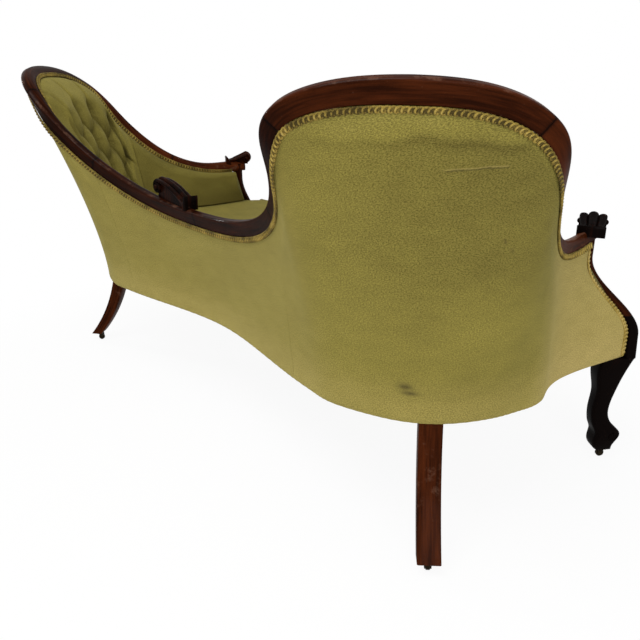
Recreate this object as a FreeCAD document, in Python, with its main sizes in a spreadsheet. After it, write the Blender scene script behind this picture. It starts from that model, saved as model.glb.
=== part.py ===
import FreeCAD, Part
import math
import os
from FreeCAD import Placement, Rotation, Vector

# A double spoon-back settee. The front looks along -Y, the right-hand seat is on -X, the floor is Z = 0.
# The right half is modelled and the left half is its mirror image; only the centre scroll has no pair.

doc = FreeCAD.newDocument("spoon_back_settee")
sheet = doc.addObject("Spreadsheet::Sheet", "sizes")

# Sizes in millimetres, or in degrees where the name ends in angle.
sizes = {
    # where the right spoon back stands and which way it faces
    "spoon_angle": 43,
    "spoon_x": 640,
    "spoon_y": 193.5,
    "crest_height": 906,
    "centre_setback": 89,
    "centre_drop": 330,
    "centre_base_setback": 30,
    # show-wood rail
    "rail_depth": 34,
    "crest_width": 40,
    "stile_width": 35,
    "low_width": 35,
    "arm_width": 27,
    "rail_round": 6,
    "rail_shoulder": 15,
    "rail_bow_over": 0.35,
    "rail_bow_inward": 28.5,
    "rail_step": 23,
    "dowel_radius": 4,
    "dowel_length": 40,
    "dowel_spacing": 14,
    "crest_joint_share": 0.3,
    # carved scrolls
    "arm_scroll_length": 62,
    "arm_scroll_rise": 17,
    "arm_scroll_radius": 21,
    "centre_scroll_length": 130,
    "centre_scroll_shift": 42,
    "centre_scroll_rise": 48,
    "centre_scroll_radius": 25,
    "scroll_width": 38,
    "scroll_seat": 6,
    "scroll_middle": 20,
    "scroll_eye": 4,
    "scroll_chin_angle": 55,
    "scroll_bar_thickness": 12,
    "scroll_bar_height": 30,
    "scroll_bar_taper": 0.6,
    "scroll_neck_share": 0.45,
    "scroll_shoulder_ahead": 0.5,
    "scroll_shoulder_rise": 0.55,
    "scroll_shoulder_lift": 0.35,
    "scroll_foot_share": 0.3,
    "scroll_eye_share": 0.38,
    # lean of the back and sweep of the arm support
    "lean_power": 1.5,
    "knee_level": 0.2,
    "neck_level": 0.867,
    "knee_front": 18,
    "neck_front": -120,
    "support_depth": 27,
    "support_width": 32,
    # front leg, set out from its place on the floor
    "front_leg_reach": -350,
    "front_leg_spread": -535,
    "front_leg_angle": 34.5,
    "front_leg_caster": -16,
    "toe_scroll_radius": 13,
    "toe_scroll_front": -9,
    "toe_scroll_height": 66,
    "toe_scroll_overhang": 2,
    "leg_round": 9,
    "leg_sections": 16,
    "knee_sections": 6,
    "support_sections": 13,
    # back leg, set out from the back of the seat frame
    "back_leg_share": 0.55,
    "back_leg_inset": 5.6,
    "back_leg_width": 45,
    "back_leg_top_depth": 40,
    "back_leg_foot_depth": 35,
    "back_leg_splay": 93,
    "back_leg_sweep": 22,
    "tenon_width": 24,
    "tenon_depth": 12,
    "tenon_length": 55,
    "tenon_inset": 10,
    # seat frame under the cover
    "frame_low": 287,
    "frame_high": 385,
    "frame_inset": 4.8,
    "frame_thickness": 27,
    "front_setback": 605,
    "front_swell": 34,
    "front_half": 757,
    "front_points": 29,
    "frame_step": 30,
    "side_rail_start": 0.05,
    "block_side": 44,
    "block_share": 0.16,
    "frame_lean": 1.25,
    "cross_rail_width": 32,
    "cross_rail_height": 50,
    "upright_width": 42,
    "upright_thickness": 14,
    "upright_inset": 7.6,
    "upright_sections": 9,
    "upright_share": 0.2,
    # covers, pads and trim
    "cover_low": 280,
    "cover_thickness": 3,
    "cover_gap": 1.6,
    "cover_rows": 8,
    "cover_step": 42,
    "soft_gap": 0.9,
    "pad_back": 24,
    "pad_tuck": 1,
    "arm_pad_start": 0.12,
    "arm_pad_depth": 60,
    "centre_pad_depth": 74,
    "spoon_pad_depth": 92,
    "pad_edge_depth": 74,
    "pad_blend": 3,
    "pad_rows": 10,
    "pad_step": 26,
    "pad_roll_share": 0.86,
    "tuft_depth": 30,
    "tuft_pleat": 0.4,
    "tuft_steps": 4,
    "tuft_fade": 5,
    "tuft_columns": 10,
    "tuft_rows": 5,
    "button_radius": 4,
    "button_neck": 0.3,
    "button_rise": 7,
    "button_lift": 0.95,
    "button_reach": 0.25,
    "gimp_width": 13,
    "gimp_thickness": 2.6,
    "gimp_gap": 0.8,
    "inside_gimp_share": 0.8,
    "support_gimp_gap": 1.0,
    "support_gimp_start": 0.15,
    "support_gimp_drop": 2,
    "support_gimp_ahead": 0.1,
    "border_swell": 16,
    "border_end_gap": 4,
    "border_low_gap": 1,
    "border_top_gap": 2,
    # seat
    "seat_edge_height": 440,
    "seat_crown_height": 457,
    "seat_half": 700,
    "seat_margin": 34,
    "seat_start": 0.42,
    "seat_step": 55,
    "seat_gap": 0.3,
    "hessian_thickness": 2,
    "hessian_back_inset": 26,
    "hessian_front_inset": 0.5,
    "sheet_gap": 0.1,
    "web_width": 50,
    "web_thickness": 2.2,
    "web_pitch": 105,
    "web_rows": 4,
    "web_columns": 13,
    "web_back_inset": 12,
    "web_front_inset": 9,
    "bottom_cover_thickness": 1.4,
    "bottom_back_inset": 8,
    "bottom_front_inset": 4,
    "leg_hole_gap": 3,
    "leg_hole_drop": 5,
    "spring_radius": 33,
    "spring_pitch": 172,
    "spring_row_pitch": 190,
    "spring_columns": 4,
    "spring_gap": 0.2,
    # casters
    "wheel_radius": 10,
    "wheel_width": 9,
    "wheel_chamfer": 1.2,
    "axle_radius": 2,
    "running_gap": 0.05,
    "side_gap": 0.4,
    "cheek_thickness": 2.4,
    "cheek_length": 13,
    "cheek_lift": 2,
    "bridge_radius": 11,
    "bridge_thickness": 3.2,
    "bridge_gap": 0.3,
    "stem_radius": 3.5,
    "stem_head_radius": 4.8,
    "stem_head_height": 2,
    "socket_radius": 6.5,
    "socket_depth": 9,
    "plate_radius": 15,
    "plate_thickness": 3,
    "caster_trail": 8,
    "caster_height": 28.5,
    "screw_radius": 1.6,
    "screw_head_radius": 2.6,
    "screw_head_height": 1.2,
    "screw_length": 14,
    "screw_circle": 10.6,
    "screw_count": 3,
}

# Stations along the right half of the rail, from the arm's front end to the middle of the settee. Each has
# the rail's place in the spoon's own axes (reach to the back, spread to the inner side), its drop below the
# crest, and the place of the seat frame's outside below it.
station_words = ("reach", "spread", "drop", "base_reach", "base_spread")
stations = {
    "tip": (-337, -428, 321, -352, -547),
    "post": (-291, -400, 323, -332, -527),
    "arm": (-200, -345, 325, -195, -362),
    "heel": (-100, -300, 290, -87, -303),
    "outer_stile": (40, -264, 180, -18, -244),
    "outer_shoulder": (140, -228, 72, 22, -185),
    "outer_crown": (192, -135, 17, 52, -111),
    "crest": (208, 0, 0, 60, -29),
    "inner_crown": (192, 140, 11, 38, 56),
    "inner_shoulder": (148, 225, 53, 2, 131),
    "inner_stile": (60, 245, 160, -49, 187),
    "waist": (-30, 267, 235, -106, 236),
    "low_rail": (-190, 360, 307, -237, 337),
}

# Levels of the front leg from the top of its calf to the sole: height, front, depth, width.
leg_words = ("height", "front", "deep", "wide")
leg_levels = {
    "thigh": (279.6, 16, 76, 52),
    "calf": (236, -3, 68, 49),
    "shin": (187, -17, 47, 42),
    "ankle": (142, -25, 43, 38),
    "instep": (112, -20, 46, 40),
    "arch": (92, -5, 55, 45),
    "toe": (78, 9, 63, 49),
    "ball": (54, 4, 60, 49),
    "sole": (28.5, -3, 44, 40),
}

# Levels of the seat pad's edge: its inset at the back and at the front, and its share of the height.
seat_words = ("back", "front", "share")
seat_levels = {
    "seat_low": (4, 6, 0),
    "seat_middle": (0, 1, 0.5),
    "seat_high": (4, 8, 1),
}

# Levels of the seat's crown: its share of the seat's length, depth and height.
crown_words = ("long", "deep", "share")
crown_levels = {
    "crown_foot": (0.86, 0.66, 0),
    "crown_swell": (0.8, 0.58, 0.6),
    "crown_turn": (0.72, 0.5, 0.9),
    "crown_top": (0.56, 0.34, 1),
}

# Levels of the front border: its share of the height, and how much of the swell it has there.
border_words = ("share", "out")
border_levels = {
    "border_low": (0, 0.55),
    "border_middle": (0.4, 0.9),
    "border_high": (0.8, 1),
    "border_top": (1, 0.5),
}
tables = (
    (station_words, stations),
    (leg_words, leg_levels),
    (seat_words, seat_levels),
    (crown_words, crown_levels),
    (border_words, border_levels),
)


def list_sizes():
    values = dict(sizes)
    for words, table in tables:
        for name, numbers in table.items():
            for word, number in zip(words, numbers):
                values[name + "_" + word] = number
    for row, (alias, value) in enumerate(values.items(), 1):
        sheet.set("A%d" % row, alias)
        sheet.set("B%d" % row, str(value))
        sheet.setAlias("B%d" % row, alias)
    doc.recompute()


def size(alias):
    return float(sheet.get(alias))


def count_of(alias):
    return int(size(alias))


def row_of(name, words):
    return [size(name + "_" + word) for word in words]


list_sizes()

up = Vector(0, 0, 1)


# Points, curves and solids

def between(first, second, share):
    return first + (second - first) * share


def spread_evenly(first, last, count):
    return [between(first, last, step / (count - 1)) for step in range(count)]


def mirrored_point(point):
    return Vector(-point.x, point.y, point.z)


def at_height(point, height):
    return Vector(point.x, point.y, height)


def spoon_point(reach, spread, height):
    turn = math.radians(size("spoon_angle"))
    x = -size("spoon_x") - reach * math.sin(turn) + spread * math.cos(turn)
    y = size("spoon_y") + reach * math.cos(turn) + spread * math.sin(turn)
    return Vector(x, y, height)


def spline(points, parameters=None):
    curve = Part.BSplineCurve()
    if parameters:
        curve.interpolate(Points=points, Parameters=parameters)
    else:
        curve.interpolate(Points=points)
    return curve


def line(first, second):
    return Part.LineSegment(first, second).toShape()


def loft(wires):
    # straight from section to section, so the sections stand close enough to follow the curve
    return Part.makeLoft(wires, True, True)


def largest(shape):
    return max(shape.Solids, key=lambda solid: solid.Volume)


def rounded_wire(centre, side, front, wide, deep, radius):
    half_wide = wide / 2
    half_deep = deep / 2
    corners = ((1, 1), (-1, 1), (-1, -1), (1, -1))
    slant = radius * (1 - math.sqrt(0.5))

    def place(across, forward):
        return centre + side * across + front * forward

    edges = []
    for index, (sign_side, sign_front) in enumerate(corners):
        next_side, next_front = corners[(index + 1) % 4]
        past_side = index % 2 == 0
        flat = place(sign_side * (half_wide - radius), sign_front * half_deep)
        upright = place(sign_side * half_wide, sign_front * (half_deep - radius))
        middle = place(sign_side * (half_wide - slant), sign_front * (half_deep - slant))
        first, last = (upright, flat) if past_side else (flat, upright)
        edges.append(Part.Arc(first, middle, last).toShape())
        next_flat = place(next_side * (half_wide - radius), next_front * half_deep)
        next_upright = place(next_side * half_wide, next_front * (half_deep - radius))
        edges.append(line(last, next_flat if past_side else next_upright))
    return Part.Wire(edges)


def block_between(plan, low, high):
    # an upright prism over a closed plan wire
    face = Part.Face(plan)
    face.translate(Vector(0, 0, low - face.BoundBox.ZMin))
    return face.extrude(Vector(0, 0, high - low))


# The rail's line and the line of the seat frame below it

names = list(stations)
cover_low = size("cover_low")
right_rail = []
right_base = []
for name in names:
    height = size("crest_height") - size(name + "_drop")
    right_rail.append(spoon_point(size(name + "_reach"), size(name + "_spread"), height))
    right_base.append(spoon_point(size(name + "_base_reach"), size(name + "_base_spread"), cover_low))
centre_height = size("crest_height") - size("centre_drop")
right_rail.append(Vector(0, size("spoon_y") + size("centre_setback"), centre_height))
right_base.append(Vector(0, size("spoon_y") + size("centre_base_setback"), cover_low))

runs = [0.0]
for first, second in zip(right_rail, right_rail[1:]):
    runs.append(runs[-1] + first.distanceToPoint(second))
place_of = {name: run / runs[-1] for name, run in zip(names + ["centre"], runs)}
right_places = [run / runs[-1] for run in runs]
all_places = right_places + [2 - place for place in reversed(right_places[:-1])]


def whole_line(right_points):
    points = right_points + [mirrored_point(point) for point in reversed(right_points[:-1])]
    return spline(points, all_places)


rail_line = whole_line(right_rail)
base_line = whole_line(right_base)


def station(first, second=None, share=0.0):
    if second is None:
        return place_of[first]
    return between(place_of[first], place_of[second], share)


def places_by(first, last, step):
    count = round((last - first) * runs[-1] / size(step))
    return spread_evenly(first, last, count + 1)


def rail_width(place):
    stops = (
        ("tip", "arm_width"), ("heel", "arm_width"), ("outer_shoulder", "stile_width"),
        ("crest", "crest_width"), ("inner_shoulder", "stile_width"), ("centre", "low_width"),
    )
    near = min(place, 2 - place)
    for (name, width), (next_name, next_width) in zip(stops, stops[1:]):
        if near <= place_of[next_name] + 1e-9:
            share = (near - place_of[name]) / (place_of[next_name] - place_of[name])
            return between(size(width), size(next_width), share)


def rail_frame(place):
    # the rail's back face: its middle, the way along it, the way out over its top edge, and the way inwards
    point, along = rail_line.getD1(place)
    along.normalize()
    fall = base_line.value(place) - point
    fall = Vector(fall.x * size("lean_power"), fall.y * size("lean_power"), fall.z)
    out = along * along.dot(fall) - fall
    out.normalize()
    return point, along, out, along.cross(out)


def rail_point(place, over, inward):
    point, along, out, inner = rail_frame(place)
    return point + out * over + inner * inward


def rail_edge(place):
    return rail_point(place, -rail_width(place) / 2, 0)


def plan_inward(*curves_at):
    total = Vector(0, 0, 0)
    for derivative in curves_at:
        flat = Vector(derivative.x, derivative.y, 0)
        total = total + flat.normalize()
    total.normalize()
    return Vector(total.y, -total.x, 0)


def wall_inward(place):
    return plan_inward(rail_line.getD1(place)[1], base_line.getD1(place)[1])


def base_inward(place):
    return plan_inward(base_line.getD1(place)[1])


def sweep_share(level):
    share = (level - size("knee_level")) / (size("neck_level") - size("knee_level"))
    share = min(1.0, max(0.0, share))
    return share * share * (3 - 2 * share)


def wall_point(place, level, depth):
    # a point of the upholstered wall: level runs from the seat frame, 0, to the rail's edge, 1
    low = base_line.value(place)
    high = rail_edge(place)
    near = min(place, 2 - place)
    front = max(0.0, 1 - (near - station("post")) / (station("arm") - station("post")))
    share = between(level ** size("lean_power"), sweep_share(level), min(1.0, front))
    plan = between(low, high, share)
    return at_height(plan, between(low.z, high.z, level)) + wall_inward(place) * depth


def wall_level(place, height):
    return (height - cover_low) / (rail_edge(place).z - cover_low)


# The document's objects

nodes = []


def add_feature(label, shape):
    feature = doc.addObject("Part::Feature", label)
    feature.Label = label
    feature.Shape = shape
    feature.Placement = Placement()
    nodes.append(feature)
    return feature


def add_mirror(source, label):
    feature = doc.addObject("Part::Mirroring", label)
    feature.Label = label
    feature.Source = source
    feature.Base = Vector(0, 0, 0)
    feature.Normal = Vector(1, 0, 0)
    nodes.append(feature)
    return feature


def add_pair(name, shape):
    right = add_feature("right_" + name, shape)
    add_mirror(right, "left_" + name)
    return right


def with_mirror(shapes):
    both = list(shapes)
    for shape in shapes:
        both.append(shape.mirror(Vector(0, 0, 0), Vector(1, 0, 0)))
    return Part.makeCompound(both)


# Show-wood rails: flat back, eased top edge, bowed front

def rail_section(place):
    half = rail_width(place) / 2
    deep = size("rail_depth")
    ease = size("rail_round")
    slant = ease * (1 - math.sqrt(0.5))
    low_back = rail_point(place, -half, 0)
    high_back = rail_point(place, half - ease, 0)
    ease_middle = rail_point(place, half - slant, slant)
    top_back = rail_point(place, half, ease)
    top_front = rail_point(place, half, size("rail_shoulder"))
    bow_middle = rail_point(place, half * size("rail_bow_over"), size("rail_bow_inward"))
    low_front = rail_point(place, -half, deep)
    return Part.Wire([
        line(low_back, high_back),
        Part.Arc(high_back, ease_middle, top_back).toShape(),
        line(top_back, top_front),
        Part.Arc(top_front, bow_middle, low_front).toShape(),
        line(low_front, low_back),
    ])


def rail_piece(first, last):
    return loft([rail_section(place) for place in places_by(first, last, "rail_step")])


crest_joint = station("outer_shoulder", "outer_crown", size("crest_joint_share"))
joints = (station("heel"), crest_joint, station("inner_shoulder"), station("waist"))


def joint_dowels(place):
    point, along, out, inner = rail_frame(place)
    middle = point + inner * (size("rail_depth") / 2) - along * (size("dowel_length") / 2)
    dowels = []
    for sign in (-1, 1):
        start = middle + out * (sign * size("dowel_spacing") / 2)
        dowels.append(Part.makeCylinder(size("dowel_radius"), size("dowel_length"), start, along))
    return dowels


dowels = [dowel for place in joints for dowel in joint_dowels(place)]
dowel_group = Part.makeCompound(dowels)
rail_stops = (station("tip"),) + joints + (1.0,)
rail_names = ("arm_rail", "outer_stile", "crest_rail", "inner_stile", "low_rail")
rails = {}
for name, first, last in zip(rail_names, rail_stops, rail_stops[1:]):
    rails[name] = rail_piece(first, last).cut(dowel_group)
    add_pair(name, rails[name])
add_feature("frame_dowels", with_mirror(dowels))


# Front legs, arm supports and the scrolls

leg_turn = math.radians(size("front_leg_angle"))
leg_front = Vector(-math.sin(leg_turn), -math.cos(leg_turn), 0)
leg_side = Vector(leg_front.y, -leg_front.x, 0)
leg_foot = spoon_point(size("front_leg_reach"), size("front_leg_spread"), 0)
post_edge = rail_edge(station("post"))


def support_front(height):
    level = (height - cover_low) / (post_edge.z - cover_low)
    return between(size("knee_front"), size("neck_front"), sweep_share(level))


def leg_section(height, front, deep, wide):
    centre = leg_foot + leg_front * (front - deep / 2)
    radius = min(size("leg_round"), deep / 3, wide / 3)
    return rounded_wire(at_height(centre, height), leg_side, leg_front, wide, deep, radius)


def calf_sections():
    # the front, depth and width change smoothly with the height
    levels = [row_of(name, leg_words) for name in reversed(leg_levels)]
    shape = spline([Vector(*level[1:]) for level in levels], [level[0] for level in levels])
    heights = spread_evenly(levels[0][0], levels[-1][0], count_of("leg_sections"))
    return [leg_section(height, *shape.value(height)) for height in heights]


def build_front_leg():
    calf = loft(calf_sections())
    thigh = size("thigh_height")
    knee_wires = []
    for height in spread_evenly(thigh, size("frame_high"), count_of("knee_sections")):
        share = (height - thigh) / (size("frame_high") - thigh)
        wide = between(size("thigh_wide"), size("support_width"), share)
        knee_wires.append(leg_section(height, support_front(height), size("support_depth"), wide))
    knee = loft(knee_wires)
    scroll_wide = size("toe_wide") + 2 * size("toe_scroll_overhang")
    scroll_centre = leg_foot + leg_front * size("toe_scroll_front") - leg_side * (scroll_wide / 2)
    scroll_centre = at_height(scroll_centre, size("toe_scroll_height"))
    scroll = Part.makeCylinder(size("toe_scroll_radius"), scroll_wide, scroll_centre, leg_side)
    leg = calf.fuse(knee).fuse(scroll)
    stem = leg_foot + leg_front * size("front_leg_caster")
    socket = Part.makeCylinder(size("socket_radius"), size("socket_depth"),
                               at_height(stem, size("caster_height")), up)
    return largest(leg.cut(socket).cut(screw_group(stem)).removeSplitter())


def screw_places(stem):
    count = count_of("screw_count")
    turns = [math.pi / 2 + 2 * math.pi * step / count for step in range(count)]
    return [stem + Vector(math.cos(turn), math.sin(turn), 0) * size("screw_circle") for turn in turns]


def screw_group(stem):
    bottom = size("caster_height") - size("plate_thickness")
    screws = []
    for place in screw_places(stem):
        start = at_height(place, bottom)
        shank = Part.makeCylinder(size("screw_radius"), size("screw_length"), start, up)
        head = Part.makeCylinder(size("screw_head_radius"), size("screw_head_height"), start, up)
        screws.append(shank.fuse(head).removeSplitter())
    return Part.makeCompound(screws)


front_stem = leg_foot + leg_front * size("front_leg_caster")
front_leg = build_front_leg()
add_pair("front_leg", front_leg)


def scroll_shape(start, forward, length, rise, radius):
    # a leaf-backed scroll: an upturned bar behind, a rising body, and a volute with two eyes in front
    side = up.cross(forward)
    wide = size("scroll_width")
    bar_thick = size("scroll_bar_thickness")
    bar_high = size("scroll_bar_height")
    low = -size("scroll_seat")
    chin_angle = math.radians(size("scroll_chin_angle"))

    def place(ahead, high, across):
        return start + forward * ahead + up * high + side * across

    def outline(ahead, high):
        return place(ahead, high, -wide / 2)

    foot_back = outline(-bar_thick, low)
    bar_back = outline(-bar_thick * size("scroll_bar_taper"), bar_high)
    bar_front = outline(0, bar_high)
    neck = outline(0, bar_high * size("scroll_neck_share"))
    shoulder_high = rise * size("scroll_shoulder_rise") + bar_high * size("scroll_shoulder_lift")
    shoulder = outline(length * size("scroll_shoulder_ahead"), shoulder_high)
    crown = outline(length, rise + radius)
    brow = outline(length + radius, rise)
    chin = outline(length + radius * math.cos(chin_angle), rise - radius * math.sin(chin_angle))
    foot_front = outline(length + radius * size("scroll_foot_share"), low)
    profile = Part.Wire([
        line(foot_back, bar_back), line(bar_back, bar_front), line(bar_front, neck),
        Part.Arc(neck, shoulder, crown).toShape(), Part.Arc(crown, brow, chin).toShape(),
        line(chin, foot_front), line(foot_front, foot_back),
    ])
    body = Part.Face(profile).extrude(side * wide)
    for across, way in ((wide / 2, side), (-wide / 2, side * -1)):
        eye_radius = radius * size("scroll_eye_share")
        eye = Part.makeCylinder(eye_radius, size("scroll_eye"), place(length, rise, across), way)
        body = body.fuse(eye)
    return body


tip_point, tip_along, tip_out, tip_inner = rail_frame(station("tip"))
arm_forward = Vector(-tip_along.x, -tip_along.y, 0).normalize()
arm_top = tip_point + tip_out * (size("arm_width") / 2) + tip_inner * size("scroll_middle")
arm_start = arm_top - arm_forward * size("arm_scroll_length")
arm_scroll = scroll_shape(arm_start, arm_forward, size("arm_scroll_length"), size("arm_scroll_rise"),
                          size("arm_scroll_radius"))
arm_scroll = largest(arm_scroll.cut(rails["arm_rail"]))


def build_arm_support():
    top = post_edge.z + size("arm_width") / 2
    heights = spread_evenly(size("frame_high"), top, count_of("support_sections"))
    sections = [leg_section(height, support_front(height), size("support_depth"), size("support_width"))
                for height in heights]
    return largest(loft(sections).cut(rails["arm_rail"]).cut(arm_scroll))


arm_support = build_arm_support()
add_pair("arm_support", arm_support)
add_pair("arm_scroll", arm_scroll)

centre_top = rail_point(1.0, size("low_width") / 2, size("scroll_middle"))
centre_top = centre_top + Vector(size("centre_scroll_shift"), 0, 0)
centre_scroll = scroll_shape(centre_top, Vector(1, 0, 0), size("centre_scroll_length"),
                             size("centre_scroll_rise"), size("centre_scroll_radius"))
low_rail_pair = with_mirror([rails["low_rail"]])
add_feature("centre_scroll", largest(centre_scroll.cut(low_rail_pair)))


# Back legs: a sabre profile padded to its width, with a tenon for the seat rail and a socket for the caster

leg_place = station("outer_crown", "crest", size("back_leg_share"))
leg_outward = base_inward(leg_place) * -1
leg_corner = at_height(base_line.value(leg_place) - leg_outward * size("back_leg_inset"), 0)
leg_placement = Placement(leg_corner, Rotation(Vector(1, 0, 0), leg_outward))
back_stem = leg_corner + leg_outward * size("back_leg_splay")


def origin_plane(body, role):
    return next(feature for feature in body.Origin.OriginFeatures if feature.Role == role)


def new_sketch(body, name, role):
    sketch = body.newObject("Sketcher::SketchObject", name)
    sketch.AttachmentSupport = [(origin_plane(body, role), "")]
    sketch.MapMode = "FlatFace"
    return sketch


def rectangle(sketch, left, right, low, high):
    corners = [Vector(left, low, 0), Vector(right, low, 0), Vector(right, high, 0), Vector(left, high, 0)]
    for first, second in zip(corners, corners[1:] + corners[:1]):
        sketch.addGeometry(Part.LineSegment(first, second), False)


def build_back_leg():
    body = doc.addObject("PartDesign::Body", "right_back_leg")
    body.Label = "right_back_leg"
    top = size("frame_low")
    foot = size("caster_height")
    half_foot = size("back_leg_foot_depth") / 2
    splay = size("back_leg_splay")
    sweep = size("back_leg_sweep")
    middle = (top + foot) / 2
    back_top = Vector(0, top, 0)
    back_foot = Vector(splay + half_foot, foot, 0)
    front_foot = Vector(splay - half_foot, foot, 0)
    front_top = Vector(-size("back_leg_top_depth"), top, 0)
    back_middle = Vector((back_top.x + back_foot.x) / 2 - sweep, middle, 0)
    front_middle = Vector((front_top.x + front_foot.x) / 2 - sweep, middle, 0)
    profile = new_sketch(body, "sabre_profile", "XZ_Plane")
    profile.addGeometry(Part.LineSegment(front_top, back_top), False)
    profile.addGeometry(Part.Arc(back_top, back_middle, back_foot), False)
    profile.addGeometry(Part.LineSegment(back_foot, front_foot), False)
    profile.addGeometry(Part.Arc(front_foot, front_middle, front_top), False)
    sabre = body.newObject("PartDesign::Pad", "sabre")
    sabre.Profile = profile
    sabre.SideType = "Symmetric"
    sabre.setExpression("Length", "sizes.back_leg_width")
    doc.recompute()
    tenon_plan = new_sketch(body, "tenon_plan", "XY_Plane")
    tenon_plan.AttachmentOffset = Placement(Vector(0, 0, top), Rotation())
    half_tenon = size("tenon_width") / 2
    tenon_back = -size("tenon_inset")
    rectangle(tenon_plan, tenon_back - size("tenon_depth"), tenon_back, -half_tenon, half_tenon)
    tenon = body.newObject("PartDesign::Pad", "tenon")
    tenon.Profile = tenon_plan
    tenon.setExpression("Length", "sizes.tenon_length")
    doc.recompute()
    holes = new_sketch(body, "caster_holes", "XY_Plane")
    holes.AttachmentOffset = Placement(Vector(0, 0, foot), Rotation())
    holes.addGeometry(Part.Circle(Vector(splay, 0, 0), up, size("socket_radius")), False)
    socket = body.newObject("PartDesign::Pocket", "caster_socket")
    socket.Profile = holes
    socket.Reversed = True
    socket.setExpression("Length", "sizes.socket_depth")
    body.Placement = leg_placement
    doc.recompute()
    return body


back_leg = build_back_leg()
leg_cut = doc.addObject("Part::Cut", "right_back_leg_drilled")
back_screws = doc.addObject("Part::Feature", "back_leg_screws")
back_screws.Shape = screw_group(back_stem)
leg_cut.Base = back_leg
leg_cut.Tool = back_screws
doc.recompute()
back_leg.Label = "right_back_leg_blank"
leg_cut.Label = "right_back_leg"
nodes.append(leg_cut)
add_mirror(leg_cut, "left_back_leg")
back_leg_shape = leg_cut.Shape.copy()


# Seat frame under the cover

frame_low = size("frame_low")
frame_high = size("frame_high")


def curved_band(outer, inner):
    return Part.makePolygon(outer + inner[::-1] + outer[:1])


def wall_lean(place):
    # how far the wall has come inwards at the top of the seat frame
    shift = wall_point(place, wall_level(place, frame_high), 0) - base_line.value(place)
    return max(0.0, shift.dot(base_inward(place)))


def frame_rail(first, last):
    outer = []
    inner = []
    for place in places_by(first, last, "frame_step"):
        start = at_height(base_line.value(place), 0)
        inset = size("frame_inset") + wall_lean(place) * size("frame_lean")
        outer.append(start + base_inward(place) * inset)
        inner.append(start + base_inward(place) * (inset + size("frame_thickness")))
    return block_between(curved_band(outer, inner), frame_low, frame_high)


def front_line(depth, half, height=0.0):
    points = []
    for x in spread_evenly(-half, half, count_of("front_points")):
        swell = size("front_swell") * math.sin(math.pi * abs(x) / size("front_half")) ** 2
        points.append(Vector(x, size("spoon_y") - size("front_setback") - swell + depth, height))
    return points


def turned_box(centre, front, deep, wide, low, high):
    side = Vector(front.y, -front.x, 0)
    corners = [centre + front * (deep / 2 * sign_front) + side * (wide / 2 * sign_side)
               for sign_front, sign_side in ((1, 1), (1, -1), (-1, -1), (-1, 1))]
    corners = [at_height(corner, 0) for corner in corners]
    return block_between(Part.makePolygon(corners + corners[:1]), low, high)


block_side = size("block_side")
block_place = station("post", "arm", size("block_share"))
block_depth = size("frame_inset") * 2 + block_side / 2
block_centre = wall_point(block_place, wall_level(block_place, frame_high), block_depth)
block_inward = wall_inward(block_place)
block_low = size("thigh_height")
corner_block = turned_box(block_centre, block_inward, block_side, block_side, block_low, frame_high)
both_blocks = with_mirror([corner_block])
both_front_legs = with_mirror([front_leg])

side_rail = frame_rail(station("post", "arm", size("side_rail_start")), station("outer_shoulder"))
side_rail = largest(side_rail.cut(corner_block).cut(front_leg))
add_pair("side_rail", side_rail)
back_rail = frame_rail(station("outer_shoulder"), station("inner_stile")).cut(back_leg_shape)
add_pair("back_rail", largest(back_rail))
centre_back_rail = frame_rail(station("inner_stile"), 2 - station("inner_stile"))
add_feature("centre_back_rail", centre_back_rail)

front_outer = front_line(0, size("front_half"))
front_inner = front_line(size("frame_thickness"), size("front_half"))
front_rail = block_between(curved_band(front_outer, front_inner), frame_low, frame_high)
front_rail = front_rail.cut(both_blocks).cut(both_front_legs).cut(with_mirror([side_rail]))
add_feature("front_rail", largest(front_rail))
add_feature("corner_blocks", both_blocks)

cross_rail = doc.addObject("Part::Box", "cross_rail")
cross_rail.Label = "cross_rail"
cross_rail.setExpression("Length", "sizes.cross_rail_width")
cross_rail.setExpression("Height", "sizes.cross_rail_height")
cross_back = base_line.value(1.0).y - size("frame_inset") - size("frame_thickness")
cross_front = front_line(size("frame_thickness"), 0)[0].y
cross_rail.Width = cross_back - cross_front
cross_rail.Placement.Base = Vector(-size("cross_rail_width") / 2, cross_front, frame_low)
nodes.append(cross_rail)


def upright(place, rails_over):
    top = wall_level(place, rail_edge(place).z + size("upright_width") / 2)
    inward = wall_inward(place)
    along = Vector(-inward.y, inward.x, 0)
    wires = []
    for level in spread_evenly(wall_level(place, frame_high), top, count_of("upright_sections")):
        centre = wall_point(place, level, size("upright_inset") + size("upright_thickness") / 2)
        half = along * (size("upright_width") / 2)
        deep = inward * (size("upright_thickness") / 2)
        corners = [centre + half + deep, centre - half + deep, centre - half - deep, centre + half - deep]
        wires.append(Part.makePolygon(corners + corners[:1]))
    post = loft(wires).cut(rails_over)
    return min(post.Solids, key=lambda solid: solid.CenterOfMass.z)


back_uprights = [
    upright(station("outer_crown", "crest", size("upright_share")), rails["crest_rail"]),
    upright(station("inner_crown"), rails["crest_rail"]),
    upright(station("low_rail"), rails["low_rail"]),
]
add_feature("back_uprights", with_mirror(back_uprights))


# Outside covers, drawn from the seat frame's lower edge up to the rails

def draped(sections):
    # Each section lists the points of its back and of its front, both upwards. The sections are curved in
    # space, so each end is closed by ruled strips.
    wires = [Part.makePolygon(back + front[::-1] + back[:1]) for back, front in sections]
    tube = Part.makeLoft(wires, False, True)
    ends = []
    for back, front in (sections[0], sections[-1]):
        for step in range(len(back) - 1):
            behind = line(back[step], back[step + 1])
            before = line(front[step], front[step + 1])
            ends.append(Part.makeRuledSurface(behind, before))
    shell = Part.makeShell(tube.Faces + ends)
    shell.sewShape()
    return Part.makeSolid(shell)


def cover_levels(place):
    top = 1 - size("cover_gap") / (rail_edge(place).z - cover_low)
    return spread_evenly(0, top, count_of("cover_rows") + 1)


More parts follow.
